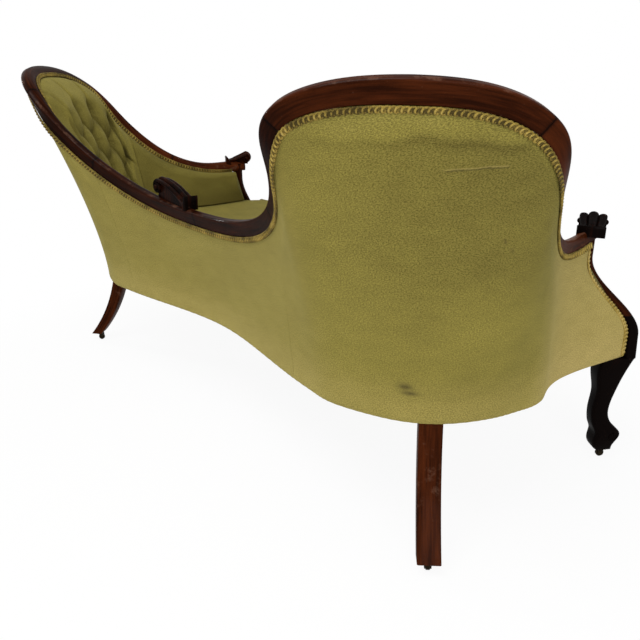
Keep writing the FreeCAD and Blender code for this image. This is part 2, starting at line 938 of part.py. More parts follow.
def cover_section(place):
    levels = cover_levels(place)
    outer = [wall_point(place, level, 0) for level in levels]
    inner = [wall_point(place, level, size("cover_thickness")) for level in levels]
    return outer, inner


def cover_piece(first, last):
    return draped([cover_section(place) for place in places_by(first, last, "cover_step")])


seam = station("waist")
seam_gap = size("soft_gap") / 2 / runs[-1]
add_pair("outside_cover", cover_piece(station("post"), seam - seam_gap))
add_feature("centre_outside_cover", cover_piece(seam + seam_gap, 2 - seam - seam_gap))


# Inside pads: each stands on the seat and rolls over at the top to tuck in under the rail

def pad_section(place, depth_at):
    half = rail_width(place) / 2
    gap = size("soft_gap")
    low = wall_level(place, size("seat_edge_height") + gap)
    back_top = rail_point(place, -half - gap, size("pad_back") + gap)
    front_top = rail_point(place, -half - gap, size("rail_depth") - size("pad_tuck"))
    high = wall_level(place, back_top.z)
    back = []
    front = []
    for share in spread_evenly(0, 1, count_of("pad_rows") + 1)[:-1]:
        level = between(low, high, share)
        roll = max(0.0, (share - size("pad_roll_share")) / (1 - size("pad_roll_share")))
        depth = between(size("rail_depth"), depth_at(share), math.sqrt(1 - roll * roll))
        back.append(wall_point(place, level, size("pad_back")))
        front.append(wall_point(place, level, depth))
    return back + [back_top], front + [front_top]


rows = count_of("tuft_rows")
columns = count_of("tuft_columns")
spoon_first = station("outer_stile")
spoon_last = station("inner_stile")
edge_depth = size("pad_edge_depth")


def tuft_height(column, row):
    # 0 at a button, a shallow pleat between two buttons, 1 in the middle of a diamond and on the plain border
    inner_column = min(columns - 1, max(1, column))
    inner_row = min(rows - 1, max(1, row))
    rising = abs(math.sin(math.pi * (inner_column + inner_row) / 2))
    falling = abs(math.sin(math.pi * (inner_column - inner_row) / 2))
    pleat = size("tuft_pleat") * max(rising, falling)
    diamond = pleat + (1 - size("tuft_pleat")) * math.sqrt(rising * falling)
    border = min(1.0, math.hypot(column - inner_column, row - inner_row))
    return between(diamond, 1, border)


def spoon_depth(column, share):
    # the tufts grow shallower towards the pad's two ends
    from_edge = min(column, columns - column)
    tuft = size("tuft_depth") * min(1.0, from_edge / size("tuft_fade"))
    full = size("spoon_pad_depth") - tuft * (1 - tuft_height(column, share * rows))
    return between(edge_depth, full, min(1.0, from_edge / size("pad_blend")))


def spoon_place(column):
    return between(spoon_first + seam_gap, spoon_last - seam_gap, column / columns)


def triangle(first, second, third):
    return Part.Face(Part.makePolygon([first, second, third, first]))


def folded(near, far, row, rising):
    # one cell between two sections, folded along the pleat that runs through it
    if rising:
        halves = (near[row], far[row], far[row + 1]), (near[row], far[row + 1], near[row + 1])
    else:
        halves = (near[row], far[row], near[row + 1]), (far[row], far[row + 1], near[row + 1])
    return [triangle(*half) for half in halves]


def build_spoon_pad():
    steps = count_of("tuft_steps")
    pad_rows = count_of("pad_rows")
    sections = []
    for step in range(columns * steps + 1):
        column = step / steps
        sections.append(pad_section(spoon_place(column), lambda share: spoon_depth(column, share)))
    faces = []
    for step, (near, far) in enumerate(zip(sections, sections[1:])):
        for row in range(pad_rows):
            rising = (step // steps + row * rows // pad_rows) % 2 == 0
            faces += folded(near[1], far[1], row, rising)
            faces += folded(near[0], far[0], row, rising)
        for end in (0, -1):
            back, far_back = near[0][end], far[0][end]
            front, far_front = near[1][end], far[1][end]
            faces += [triangle(back, far_back, far_front), triangle(back, far_front, front)]
    for back, front in (sections[0], sections[-1]):
        for row in range(pad_rows):
            faces += folded(back, front, row, True)
    shell = Part.makeShell(faces)
    shell.sewShape()
    return Part.makeSolid(shell)


spoon_pad = largest(build_spoon_pad().cut(rails["inner_stile"]))
add_pair("spoon_pad", spoon_pad)


def plain_pad(first, last, depth_along):
    places = places_by(first, last, "pad_step")
    sections = []
    for place in places:
        depth = depth_along((place - first) / (last - first))
        sections.append(pad_section(place, lambda share: depth))
    return draped(sections)


arm_pad = plain_pad(station("post", "arm", size("arm_pad_start")), spoon_first - seam_gap,
                    lambda along: between(size("arm_pad_depth"), edge_depth, along * along))
arm_pad = largest(arm_pad.cut(arm_support).cut(rails["arm_rail"]))
add_pair("arm_pad", arm_pad)
add_feature("centre_pad", plain_pad(spoon_last + seam_gap, 2 - spoon_last - seam_gap,
                                    lambda along: between(edge_depth, size("centre_pad_depth"),
                                                          math.sin(math.pi * along) ** 2)))


def spoon_front(column):
    return pad_section(spoon_place(column), lambda share: spoon_depth(column, share))[1]


def spoon_buttons():
    # covered buttons on a tapered shank that goes down into the tuft, square to the cloth round it
    reach = size("button_reach")
    buttons = []
    for column in range(1, columns):
        before = spoon_front(column - reach)
        front = spoon_front(column)
        after = spoon_front(column + reach)
        for row in range(1, rows):
            if (column + row) % 2 == 0:
                level = row * count_of("pad_rows") // rows
                rise = front[level + 1] - front[level - 1]
                axis = (after[level] - before[level]).cross(rise).normalize()
                seat = front[level] + axis * size("button_lift")
                buttons.append(Part.makeCone(size("button_neck"), size("button_radius"), size("button_rise"),
                                             seat, axis))
    return buttons


add_feature("back_buttons", with_mirror(spoon_buttons()))


# Gimp along the rails, outside and inside, and down the arm supports

def strip_section(corners):
    return Part.makePolygon(corners + corners[:1])


def rail_gimp(near, far, low, high):
    wires = []
    for place in places_by(station("post"), 1 - seam_gap, "rail_step"):
        edge = -rail_width(place) / 2
        wires.append(strip_section([
            rail_point(place, edge + near, low), rail_point(place, edge + near, high),
            rail_point(place, edge + far, high), rail_point(place, edge + far, low),
        ]))
    return loft(wires)


gimp_gap = size("gimp_gap")
gimp_thick = size("gimp_thickness")
outside_gimp = rail_gimp(-size("gimp_width"), -gimp_gap, -gimp_gap - gimp_thick, -gimp_gap)
inside_low = size("rail_depth") + gimp_gap
inside_wide = size("gimp_width") * size("inside_gimp_share")
inside_gimp = rail_gimp(0, inside_wide, inside_low, inside_low + gimp_thick)


def support_gimp():
    place = station("post")
    ahead = station("post", "arm", size("support_gimp_ahead"))
    wires = []
    top = wall_level(place, post_edge.z - size("gimp_width") - size("support_gimp_drop"))
    levels = cover_levels(place)
    for level in [levels[1] * size("support_gimp_start")] + levels[1:-1] + [top]:
        point = wall_point(place, level, 0)
        along = wall_point(ahead, level, 0) - point
        along.normalize()
        inward = wall_inward(place)
        near = point - inward * size("support_gimp_gap")
        far = near + along * size("gimp_width")
        lift = inward * -gimp_thick
        wires.append(strip_section([near, far, far + lift, near + lift]))
    return loft(wires)


add_feature("outside_gimp", with_mirror([outside_gimp, support_gimp()]))
add_feature("inside_gimp", with_mirror([inside_gimp]))


# Seat: webbing, springs, hessian, pad, front border and bottom cover

side_start = station("post", "arm", size("seat_start"))


def seat_points(back_depth, front_depth, height):
    back = []
    for place in places_by(side_start, 2 - side_start, "seat_step"):
        back.append(at_height(base_line.value(place) + base_inward(place) * back_depth, height))
    return back + front_line(front_depth, size("seat_half"), height)[::-1]


def closed(points):
    return Part.makePolygon(points + points[:1])


def seat_outline(back_depth, front_depth, height):
    return closed(seat_points(back_depth, front_depth, height))


def seat_sheet(back_depth, front_depth, low, thickness):
    return block_between(seat_outline(back_depth, front_depth, low), low, low + thickness)


def leg_clearance():
    # room for the tops of the back legs and the feet of the corner blocks
    centre = leg_corner - leg_outward * (size("back_leg_top_depth") / 2)
    low = cover_low - size("leg_hole_drop")
    gap = size("leg_hole_gap")
    leg_deep = size("back_leg_top_depth") + gap
    legs = turned_box(centre, leg_outward, leg_deep, size("back_leg_width") + gap, low, frame_low)
    blocks = turned_box(block_centre, block_inward, block_side + gap, block_side + gap, low, frame_low)
    return with_mirror([legs, blocks])


leg_holes = leg_clearance()
sheet_gap = size("sheet_gap")
web_thick = size("web_thickness")
web_high = frame_low - sheet_gap
web_low = web_high - 2 * web_thick - sheet_gap
web_region = seat_sheet(size("web_back_inset"), size("web_front_inset"), web_low, web_high - web_low)
web_region = web_region.cut(leg_holes)


def straps(count, pitch, offset, lengthwise, low):
    found = []
    reach = 2 * size("spoon_x")
    half = size("web_width") / 2
    for step in range(count):
        middle = offset + (step - (count - 1) / 2) * pitch
        if lengthwise:
            box = Part.makeBox(2 * reach, 2 * half, web_thick, Vector(-reach, middle - half, low))
        else:
            box = Part.makeBox(2 * half, 2 * reach, web_thick, Vector(middle - half, -reach, low))
        found.extend(box.common(web_region).Solids)
    return found


seat_middle = size("spoon_y") - size("front_setback") / 2
webs = straps(count_of("web_rows"), size("web_pitch"), seat_middle, True, web_high - web_thick)
webs += straps(count_of("web_columns"), size("web_pitch"), 0, False, web_low)
add_feature("seat_webbing", Part.makeCompound(webs))

hessian_low = frame_high + sheet_gap
hessian_high = hessian_low + size("hessian_thickness")
add_feature("hessian", seat_sheet(size("hessian_back_inset"), size("hessian_front_inset"), hessian_low,
                                  size("hessian_thickness")))


def spring():
    # a coil, drawn as its outline
    low = frame_low + size("spring_gap")
    high = hessian_low - size("spring_gap")
    return Part.makeCylinder(size("spring_radius"), high - low, Vector(0, 0, low))


def spring_group():
    model = spring()
    springs = []
    for row in (-0.5, 0.5):
        for column in range(count_of("spring_columns")):
            copy = model.copy()
            x = -(column + 0.5) * size("spring_pitch")
            copy.translate(Vector(x, seat_middle + row * size("spring_row_pitch"), 0))
            springs.append(copy)
    return with_mirror(springs)


add_feature("seat_springs", spring_group())


def crown_outline(long, deep, height):
    points = []
    for point in seat_points(size("seat_margin"), 0, height):
        points.append(Vector(point.x * long, between(seat_middle, point.y, deep), height))
    return closed(points)


def build_seat_pad():
    low = hessian_high + size("seat_gap")
    edge = size("seat_edge_height")
    slab_wires = []
    for name in seat_levels:
        back, front, share = row_of(name, seat_words)
        slab_wires.append(seat_outline(size("seat_margin") + back, front, between(low, edge, share)))
    crown_wires = []
    for name in crown_levels:
        long, deep, share = row_of(name, crown_words)
        crown_wires.append(crown_outline(long, deep, between(edge, size("seat_crown_height"), share)))
    return largest(loft(slab_wires).fuse(loft(crown_wires)))


add_feature("seat_pad", build_seat_pad())


def build_front_border():
    gap = size("soft_gap")
    swell = size("border_swell")
    half = size("front_half") - size("border_end_gap")
    low = cover_low + size("border_low_gap")
    high = size("seat_edge_height") - size("border_top_gap")
    wires = []
    for name in border_levels:
        share, out = row_of(name, border_words)
        height = between(low, high, share)
        outer = front_line(-gap - swell * out, half, height)
        inner = front_line(-gap, half, height)
        wires.append(curved_band(outer, inner))
    border = loft(wires)
    return largest(border.cut(both_front_legs).cut(with_mirror([arm_support])))


add_feature("front_border", build_front_border())

bottom_low = web_low - sheet_gap - size("bottom_cover_thickness")
bottom_cover = seat_sheet(size("bottom_back_inset"), size("bottom_front_inset"), bottom_low,
                          size("bottom_cover_thickness"))
add_feature("bottom_cover", largest(bottom_cover.cut(leg_holes)))


# Casters: a plate screwed under the leg, a fork that swivels in it, an axle pin and a wheel

def placed(kind, name, placement, offset, turn, bindings):
    solid = doc.addObject(kind, name)
    for prop, expression in bindings.items():
        solid.setExpression(prop, expression)
    solid.Placement = placement.multiply(Placement(offset, turn))
    return solid


upright_turn = Rotation()
axle_turn = Rotation(Vector(1, 0, 0), -90)


def fuse_objects(name, solids):
    fused = doc.addObject("Part::MultiFuse", name)
    fused.Shapes = solids
    return fused


def cut_objects(name, base, tool):
    cut = doc.addObject("Part::Cut", name)
    cut.Base = base
    cut.Tool = tool
    return cut


def build_caster(corner, stem, turn_angle):
    where = Placement(at_height(stem, 0), Rotation(up, turn_angle))
    wheel_radius = size("wheel_radius")
    half_gap = size("wheel_width") / 2 + size("side_gap")
    cheek = size("cheek_thickness")
    trail = size("caster_trail")
    bridge_top = size("caster_height") - size("plate_thickness") - size("bridge_gap")
    bridge_low = bridge_top - size("bridge_thickness")
    centre = Vector(trail, 0, wheel_radius)
    axle_start = centre - Vector(0, half_gap + cheek, 0)

    bridge = placed("Part::Cylinder", corner + "_bridge", where, Vector(0, 0, bridge_low), upright_turn,
                    {"Radius": "sizes.bridge_radius", "Height": "sizes.bridge_thickness"})
    stem_long = size("plate_thickness") + 2 * size("bridge_gap")
    stem_pin = placed("Part::Cylinder", corner + "_stem", where, Vector(0, 0, bridge_top), upright_turn,
                      {"Radius": "sizes.stem_radius"})
    stem_pin.Height = stem_long
    head_low = Vector(0, 0, bridge_top + stem_long)
    head = placed("Part::Cylinder", corner + "_stem_head", where, head_low, upright_turn,
                  {"Radius": "sizes.stem_head_radius", "Height": "sizes.stem_head_height"})
    cheeks = []
    for sign in (-1, 1):
        low = wheel_radius - size("cheek_length") / 2 + size("cheek_lift")
        offset = Vector(trail - size("cheek_length") / 2, sign * (half_gap + cheek / 2) - cheek / 2, low)
        plate = placed("Part::Box", corner + "_cheek", where, offset, upright_turn,
                       {"Length": "sizes.cheek_length", "Width": "sizes.cheek_thickness"})
        plate.Height = bridge_top - low
        cheeks.append(plate)
    web = placed("Part::Box", corner + "_web", where, Vector(0, -half_gap - cheek, bridge_low), upright_turn,
                 {"Height": "sizes.bridge_thickness"})
    web.Length = trail + size("cheek_length") / 2
    web.Width = 2 * (half_gap + cheek)
    axle_hole = placed("Part::Cylinder", corner + "_axle_hole", where, axle_start, axle_turn,
                       {"Radius": "sizes.axle_radius"})
    axle_hole.Height = 2 * (half_gap + cheek)
    blank = fuse_objects(corner + "_fork_blank", [bridge, stem_pin, head, web] + cheeks)
    fork = cut_objects(corner + "_caster_fork", blank, axle_hole)

    axle = placed("Part::Cylinder", corner + "_caster_axle", where, axle_start, axle_turn,
                  {"Radius": "sizes.axle_radius"})
    axle.Height = 2 * (half_gap + cheek)

    rim_start = centre - Vector(0, size("wheel_width") / 2, 0)
    rim = placed("Part::Cylinder", corner + "_rim", where, rim_start, axle_turn,
                 {"Radius": "sizes.wheel_radius", "Height": "sizes.wheel_width"})
    eased = doc.addObject("Part::Chamfer", corner + "_eased_rim")
    eased.Base = rim
    doc.recompute()
    rims = [index for index, edge in enumerate(rim.Shape.Edges, 1) if isinstance(edge.Curve, Part.Circle)]
    eased.Edges = [(index, size("wheel_chamfer"), size("wheel_chamfer")) for index in rims]
    bore = placed("Part::Cylinder", corner + "_bore", where, axle_start, axle_turn,
                  {"Radius": "sizes.axle_radius + sizes.running_gap"})
    bore.Height = 2 * (half_gap + cheek)
    wheel = cut_objects(corner + "_caster_wheel", eased, bore)
    for piece, word in ((fork, "fork"), (axle, "axle"), (wheel, "wheel")):
        piece.Label = corner + "_caster_" + word
        nodes.append(piece)


def caster_plate(stem):
    thick = size("plate_thickness")
    start = at_height(stem, size("caster_height") - thick)
    disc = Part.makeCylinder(size("plate_radius"), thick, start, up)
    hole = Part.makeCylinder(size("stem_radius") + size("running_gap"), thick, start, up)
    return largest(disc.cut(hole).cut(screw_group(stem)))


front_trail = math.degrees(math.atan2(leg_front.y, leg_front.x)) + 180
back_trail = math.degrees(math.atan2(leg_outward.y, leg_outward.x)) + 180
build_caster("right_front", front_stem, front_trail)
build_caster("left_front", mirrored_point(front_stem), 180 - front_trail)
build_caster("right_back", back_stem, back_trail)
build_caster("left_back", mirrored_point(back_stem), 180 - back_trail)
add_feature("caster_plates", with_mirror([caster_plate(front_stem), caster_plate(back_stem)]))
add_feature("caster_screws", with_mirror(screw_group(front_stem).Solids + screw_group(back_stem).Solids))


# Check and write

doc.recompute()
for item in doc.Objects:
    if "Invalid" in item.State or "Error" in item.State:
        raise RuntimeError("failed object: " + item.Label)
bad = [node.Label for node in nodes
       if node.Shape.isNull() or not node.Shape.isValid() or not node.Shape.Solids]
if bad:
    raise RuntimeError("bad shapes: " + ", ".join(bad))

os.makedirs("parts", exist_ok=True)
whole = FreeCAD.BoundBox()
for node in nodes:
    node.Shape.exportStep("parts/" + node.Label + ".step")
    whole.add(node.Shape.BoundBox)
print(len(nodes), "nodes")
print("box x %.1f %.1f  y %.1f %.1f  z %.1f %.1f"
      % (whole.XMin, whole.XMax, whole.YMin, whole.YMax, whole.ZMin, whole.ZMax))
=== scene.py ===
import math
import bmesh
import bpy
import numpy as np
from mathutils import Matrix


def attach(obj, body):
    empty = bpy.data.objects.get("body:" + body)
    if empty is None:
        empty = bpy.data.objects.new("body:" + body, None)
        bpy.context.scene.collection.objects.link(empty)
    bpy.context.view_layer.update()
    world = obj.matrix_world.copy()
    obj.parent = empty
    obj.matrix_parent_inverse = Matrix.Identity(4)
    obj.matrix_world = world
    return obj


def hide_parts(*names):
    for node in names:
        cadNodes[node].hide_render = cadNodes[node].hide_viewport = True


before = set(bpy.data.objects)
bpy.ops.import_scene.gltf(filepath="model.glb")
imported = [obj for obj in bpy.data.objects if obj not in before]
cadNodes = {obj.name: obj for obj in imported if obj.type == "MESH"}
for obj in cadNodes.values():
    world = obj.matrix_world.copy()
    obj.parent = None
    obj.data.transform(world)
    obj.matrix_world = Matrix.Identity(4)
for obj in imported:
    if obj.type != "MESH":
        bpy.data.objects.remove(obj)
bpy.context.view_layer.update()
print("frame loaded:", len(cadNodes), "nodes")

# Setting out, in metres, the same stations as the CAD model
layout = {
    "spoonAngle": math.radians(43), "spoonX": 0.640, "spoonY": 0.1935, "crestHeight": 0.906,
    "centreSetback": 0.089, "centreDrop": 0.330, "centreBaseSetback": 0.030,
    "leanPower": 1.5, "kneeLevel": 0.2, "neckLevel": 0.867, "coverLow": 0.280,
}
stations = {  # reach, spread, drop, base reach, base spread, in millimetres
    "tip": (-337, -428, 321, -352, -547),
    "post": (-291, -400, 323, -332, -527),
    "arm": (-200, -345, 325, -195, -362),
    "heel": (-100, -300, 290, -87, -303),
    "outerStile": (40, -264, 180, -18, -244),
    "outerShoulder": (140, -228, 72, 22, -185),
    "outerCrown": (192, -135, 17, 52, -111),
    "crest": (208, 0, 0, 60, -29),
    "innerCrown": (192, 140, 11, 38, 56),
    "innerShoulder": (148, 225, 53, 2, 131),
    "innerStile": (60, 245, 160, -49, 187),
    "waist": (-30, 267, 235, -106, 236),
    "lowRail": (-190, 360, 307, -237, 337),
}
railWidths = {"tip": 0.027, "heel": 0.027, "outerShoulder": 0.035, "crest": 0.040, "innerShoulder": 0.035,
              "centre": 0.035}
mirrorX = np.array((-1.0, 1.0, 1.0))
sides = (("right", np.ones(3)), ("left", mirrorX))
up = np.array((0.0, 0.0, 1.0))


def unit(vectors):
    return vectors / np.linalg.norm(vectors, axis=-1, keepdims=True)


def mix(first, second, share):
    return first + (second - first) * share


def smooth(share):
    share = np.clip(share, 0.0, 1.0)
    return share * share * (3 - 2 * share)


def bell(distance, width):
    return np.exp(-(distance / width) ** 2)


def lineRun(points):
    return np.concatenate(([0.0], np.cumsum(np.linalg.norm(np.diff(points, axis=0), axis=1))))


def pointsAt(spots, run, points):
    return np.stack([np.interp(spots, run, values) for values in points.T], axis=1)


def turnsRound(count):
    return np.arange(count) * 2 * math.pi / count


def spoonPoint(reach, spread, height):
    angle = layout["spoonAngle"]
    x = -layout["spoonX"] - reach * math.sin(angle) + spread * math.cos(angle)
    y = layout["spoonY"] + reach * math.cos(angle) + spread * math.sin(angle)
    return np.array((x, y, height))


class SmoothLine:
    # a curve with no kinks through given points at given places
    def __init__(self, places, points):
        self.places, self.points = np.asarray(places, float), np.asarray(points, float)
        steps = np.diff(self.places)
        rises = np.diff(self.points, axis=0) / steps[:, None]
        weights = np.eye(len(places))
        wanted = np.zeros_like(self.points)
        for i in range(1, len(places) - 1):
            weights[i, i - 1:i + 2] = steps[i], 2 * (steps[i - 1] + steps[i]), steps[i - 1]
            wanted[i] = 3 * (steps[i] * rises[i - 1] + steps[i - 1] * rises[i])
        for end, part in ((0, slice(0, 4)), (-1, slice(-4, None))):
            wanted[end] = np.polyfit(self.places[part] - self.places[end], self.points[part], 3)[2]
        self.slopes = np.linalg.solve(weights, wanted)

    def at(self, place):
        place = np.atleast_1d(np.asarray(place, float))
        i = np.clip(np.searchsorted(self.places, place) - 1, 0, len(self.places) - 2)
        step = (self.places[i + 1] - self.places[i])[:, None]
        t = (place - self.places[i])[:, None] / step
        p, q = self.points[i], self.points[i + 1]
        m, n = self.slopes[i] * step, self.slopes[i + 1] * step
        value = (p * (2 * t**3 - 3 * t**2 + 1) + m * (t**3 - 2 * t**2 + t)
                 + q * (3 * t**2 - 2 * t**3) + n * (t**3 - t**2))
        slope = (p * (6 * t**2 - 6 * t) + m * (3 * t**2 - 4 * t + 1)
                 + q * (6 * t - 6 * t**2) + n * (3 * t**2 - 2 * t))
        return value, slope / step


rightRail = []
rightBase = []
for reach, spread, drop, baseReach, baseSpread in stations.values():
    rightRail.append(spoonPoint(reach / 1000, spread / 1000, layout["crestHeight"] - drop / 1000))
    rightBase.append(spoonPoint(baseReach / 1000, baseSpread / 1000, layout["coverLow"]))
centreHeight = layout["crestHeight"] - layout["centreDrop"]
rightRail.append(np.array((0, layout["spoonY"] + layout["centreSetback"], centreHeight)))
rightBase.append(np.array((0, layout["spoonY"] + layout["centreBaseSetback"], layout["coverLow"])))
runs = lineRun(rightRail)
halfRun = runs[-1]
placeOf = dict(zip(list(stations) + ["centre"], runs / halfRun))


def wholeLine(points):
    places = np.concatenate((runs / halfRun, 2 - runs[-2::-1] / halfRun))
    return SmoothLine(places, np.array(points + [point * mirrorX for point in points[-2::-1]]))


railLine = wholeLine(rightRail)
baseLine = wholeLine(rightBase)


def station(first, second=None, share=0.0):
    return placeOf[first] if second is None else mix(placeOf[first], placeOf[second], share)


def nearPlace(place):
    return np.minimum(place, 2 - place)


def railWidth(place):
    return np.interp(nearPlace(place), [placeOf[stop] for stop in railWidths], list(railWidths.values()))


def railFrame(place):
    point, slope = railLine.at(place)
    along = unit(slope)
    fall = (baseLine.at(place)[0] - point) * (layout["leanPower"], layout["leanPower"], 1)
    out = unit(along * np.sum(along * fall, axis=1, keepdims=True) - fall)
    return point, out, np.cross(along, out)


def railPoint(place, over, inward):
    # one point at each place, or a ring of points where the offsets have a second axis
    point, out, inner = railFrame(place)
    over, inward = np.broadcast_arrays(over, inward)
    if over.ndim == 2:
        point, out, inner = point[:, None], out[:, None], inner[:, None]
    return point + out * over[..., None] + inner * inward[..., None]


def railEdge(place):
    return railPoint(place, -railWidth(place) / 2, 0.0)


def planInward(*slopes):
    total = unit(sum(unit(slope * (1, 1, 0)) for slope in slopes))
    return np.stack((total[:, 1], -total[:, 0], np.zeros(len(total))), axis=1)


def wallInward(place):
    return planInward(railLine.at(place)[1], baseLine.at(place)[1])


def baseInward(place):
    return planInward(baseLine.at(place)[1])


def sweepShare(level):
    return smooth((level - layout["kneeLevel"]) / (layout["neckLevel"] - layout["kneeLevel"]))


def wallPoint(place, level, depth):
    # level 0 is the seat frame's lower edge and level 1 the rail; depth goes inwards
    place = np.atleast_1d(np.asarray(place, float))
    level = np.atleast_1d(np.asarray(level, float))
    low, high = baseLine.at(place)[0][:, None], railEdge(place)[:, None]
    front = 1 - (nearPlace(place) - placeOf["post"]) / (placeOf["arm"] - placeOf["post"])
    level = np.broadcast_to(level, (len(place), level.shape[-1]))
    bowed = np.clip(level, 0, None) ** layout["leanPower"]
    share = mix(bowed, sweepShare(level), np.clip(front, 0, 1)[:, None])
    points = low + (high - low) * share[..., None]
    points[..., 2] = mix(low[..., 2], high[..., 2], level)
    depth = np.broadcast_to(depth, level.shape)
    return points + wallInward(place)[:, None] * depth[..., None]


def wallLevel(place, height):
    return (height - layout["coverLow"]) / (railEdge(place)[:, 2] - layout["coverLow"])


postEdge = railEdge(station("post"))[0]

# Mesh makers

def addObject(name, data):
    made = bpy.data.objects.new(name, data)
    bpy.context.scene.collection.objects.link(made)
    return made


def runLengths(grid, axis):
    steps = np.linalg.norm(np.diff(grid, axis=axis), axis=2)
    lengths = np.cumsum(steps, axis=axis)
    first = np.zeros_like(np.take(lengths, [0], axis=axis))
    return np.concatenate((first, lengths), axis=axis)


def clothRuns(grid):
    return np.stack((runLengths(grid, 0), runLengths(grid, 1)), axis=-1).reshape(-1, 2)


def buildMesh(name, verts, faces, cloth, marks, sharpAngle):
    mesh = bpy.data.meshes.new(name)
    mesh.from_pydata(np.asarray(verts, float).tolist(), [], faces)
    edit = bmesh.new()
    edit.from_mesh(mesh)
    bmesh.ops.recalc_face_normals(edit, faces=edit.faces)
    edit.to_mesh(mesh)
    edit.free()
    mesh.polygons.foreach_set("use_smooth", np.ones(len(mesh.polygons), bool))
    if sharpAngle:
        mesh.set_sharp_from_angle(angle=math.radians(sharpAngle))
    if cloth is not None:
        corners = np.zeros(len(mesh.loops), int)
        mesh.loops.foreach_get("vertex_index", corners)
        layer = mesh.uv_layers.new(name="cloth")
        layer.data.foreach_set("uv", np.asarray(cloth, float)[corners].ravel())
    for mark, values in (marks or {}).items():
        attribute = mesh.attributes.new(mark, "FLOAT", "POINT")
        attribute.data.foreach_set("value", np.asarray(values, float))
    return addObject(name, mesh)


def gridFaces(rows, columns, start=0, closed=False):
    index = np.arange(rows * columns).reshape(rows, columns) + start
    if closed:
        index = np.concatenate((index, index[:, :1]), axis=1)
    quads = np.stack((index[:-1, :-1], index[1:, :-1], index[1:, 1:], index[:-1, 1:]), axis=-1)
    return quads.reshape(-1, 4).tolist()


def tubeFaces(count, around, start=0):
    # rings joined up, with a cap at each end
    last = start + (count - 1) * around
    caps = [list(range(first, first + around)) for first in (start, last)]
    return gridFaces(count, around, start, True) + caps


def makeTubes(name, tubes, marks, sharpAngle, clothed=True):
    # several closed tubes in one mesh
    verts, faces, cloth = [], [], []
    start = 0
    for rings in tubes:
        count, around = rings.shape[:2]
        faces += tubeFaces(count, around, start)
        start += count * around
        verts.append(rings.reshape(-1, 3))
        cloth.append(clothRuns(rings))
    cloth = np.concatenate(cloth) if clothed else None
    return buildMesh(name, np.concatenate(verts), faces, cloth, marks, sharpAngle)


def makeShell(name, front, back, marks, sharpAngle):
    # a closed solid between a fine front grid and a plain back grid with the same number of columns
    count, high = front.shape[:2]
    backHigh = back.shape[1]
    faces = gridFaces(count, high) + gridFaces(count, backHigh, count * high)
    near = np.arange(count * high).reshape(count, high)
    far = np.arange(count * backHigh).reshape(count, backHigh) + count * high
    rims = [np.stack((near[:-1, end], near[1:, end], far[1:, end], far[:-1, end]), axis=1) for end in (0, -1)]
    faces += np.stack(rims, axis=1).reshape(-1, 4).tolist()
    faces += [near[i].tolist() + far[i, ::-1].tolist() for i in (0, -1)]
    plain = np.zeros(count * backHigh)
    filled = {mark: np.concatenate((np.ravel(values), plain)) for mark, values in marks.items()}
    verts = np.concatenate((front.reshape(-1, 3), back.reshape(-1, 3)))
    cloth = np.concatenate((clothRuns(front), clothRuns(back)))
    return buildMesh(name, verts, faces, cloth, filled, sharpAngle)


def tubeAlong(path, radius, sidesRound, normal):
    # rings round a path, set square to the given way out
    along = unit(np.gradient(path, axis=0))
    side = unit(np.cross(along, np.broadcast_to(normal, path.shape)))
    lift = np.cross(side, along)
    radius = np.broadcast_to(radius, (len(path),))
    turn = turnsRound(sidesRound)
    ring = side[:, None] * np.cos(turn)[None, :, None] + lift[:, None] * np.sin(turn)[None, :, None]
    return path[:, None] + ring * radius[:, None, None]


def ripple(u, v, seed, count=7, low=6.0, high=22.0):
    # gentle uneven swell of worn cloth, from -1 to 1
    chance = np.random.default_rng(seed)
    total = np.zeros(np.broadcast(u, v).shape)
    for step in range(count):
        angle = chance.uniform(0, math.pi)
        pitch = chance.uniform(low, high)
        phase = chance.uniform(0, 2 * math.pi)
        total = total + np.sin((u * math.cos(angle) + v * math.sin(angle)) * pitch + phase)
    return total / count


# Shader maths: a socket that can be used in sums

class Wire:
    def __init__(self, board, node, out=0):
        self.board = board
        self.node = node
        self.socket = node.outputs[out] if len(node.outputs) else None

    def math(self, operation, first, second):
        return self.board.node("ShaderNodeMath", {"operation": operation}, {0: first, 1: second})

    def __add__(self, other):
        return self.math("ADD", self, other)

    def __radd__(self, other):
        return self.math("ADD", other, self)

    def __sub__(self, other):
        return self.math("SUBTRACT", self, other)

    def __rsub__(self, other):
        return self.math("SUBTRACT", other, self)

    def __mul__(self, other):
        return self.math("MULTIPLY", self, other)

    def __rmul__(self, other):
        return self.math("MULTIPLY", other, self)


class Board:
    # a node tree of a material or of the world
    def __init__(self, tree):
        self.tree = tree
        tree.nodes.clear()

    def feed(self, socket, value):
        if isinstance(value, Wire):
            self.tree.links.new(value.socket, socket)
        elif socket.type == "RGBA" and len(value) == 3:
            socket.default_value = value + (1.0,)
        else:
            socket.default_value = value

    def node(self, kind, settings=None, inputs=None, out=0):
        made = self.tree.nodes.new(kind)
        for key, value in (settings or {}).items():
            if key == "stops":
                ramp = made.color_ramp.elements
                while len(ramp) < len(value):
                    ramp.new(0.5)
                for stop, (position, colour) in zip(ramp, value):
                    stop.position = position
                    stop.color = tuple(colour) + (1.0,)
            else:
                setattr(made, key, value)
        for key, value in (inputs or {}).items():
            self.feed(made.inputs[key], value)
        return Wire(self, made, out)

    def seenRay(self):
        # 1 for what the camera sees, directly, mirrored or through something clear
        camera, glossy, clear = (self.node("ShaderNodeLightPath", None, None, "Is " + word + " Ray")
                                 for word in ("Camera", "Glossy", "Transmission"))
        return self.node("ShaderNodeMath", {"operation": "MINIMUM"}, {0: camera + glossy + clear, 1: 1.0})


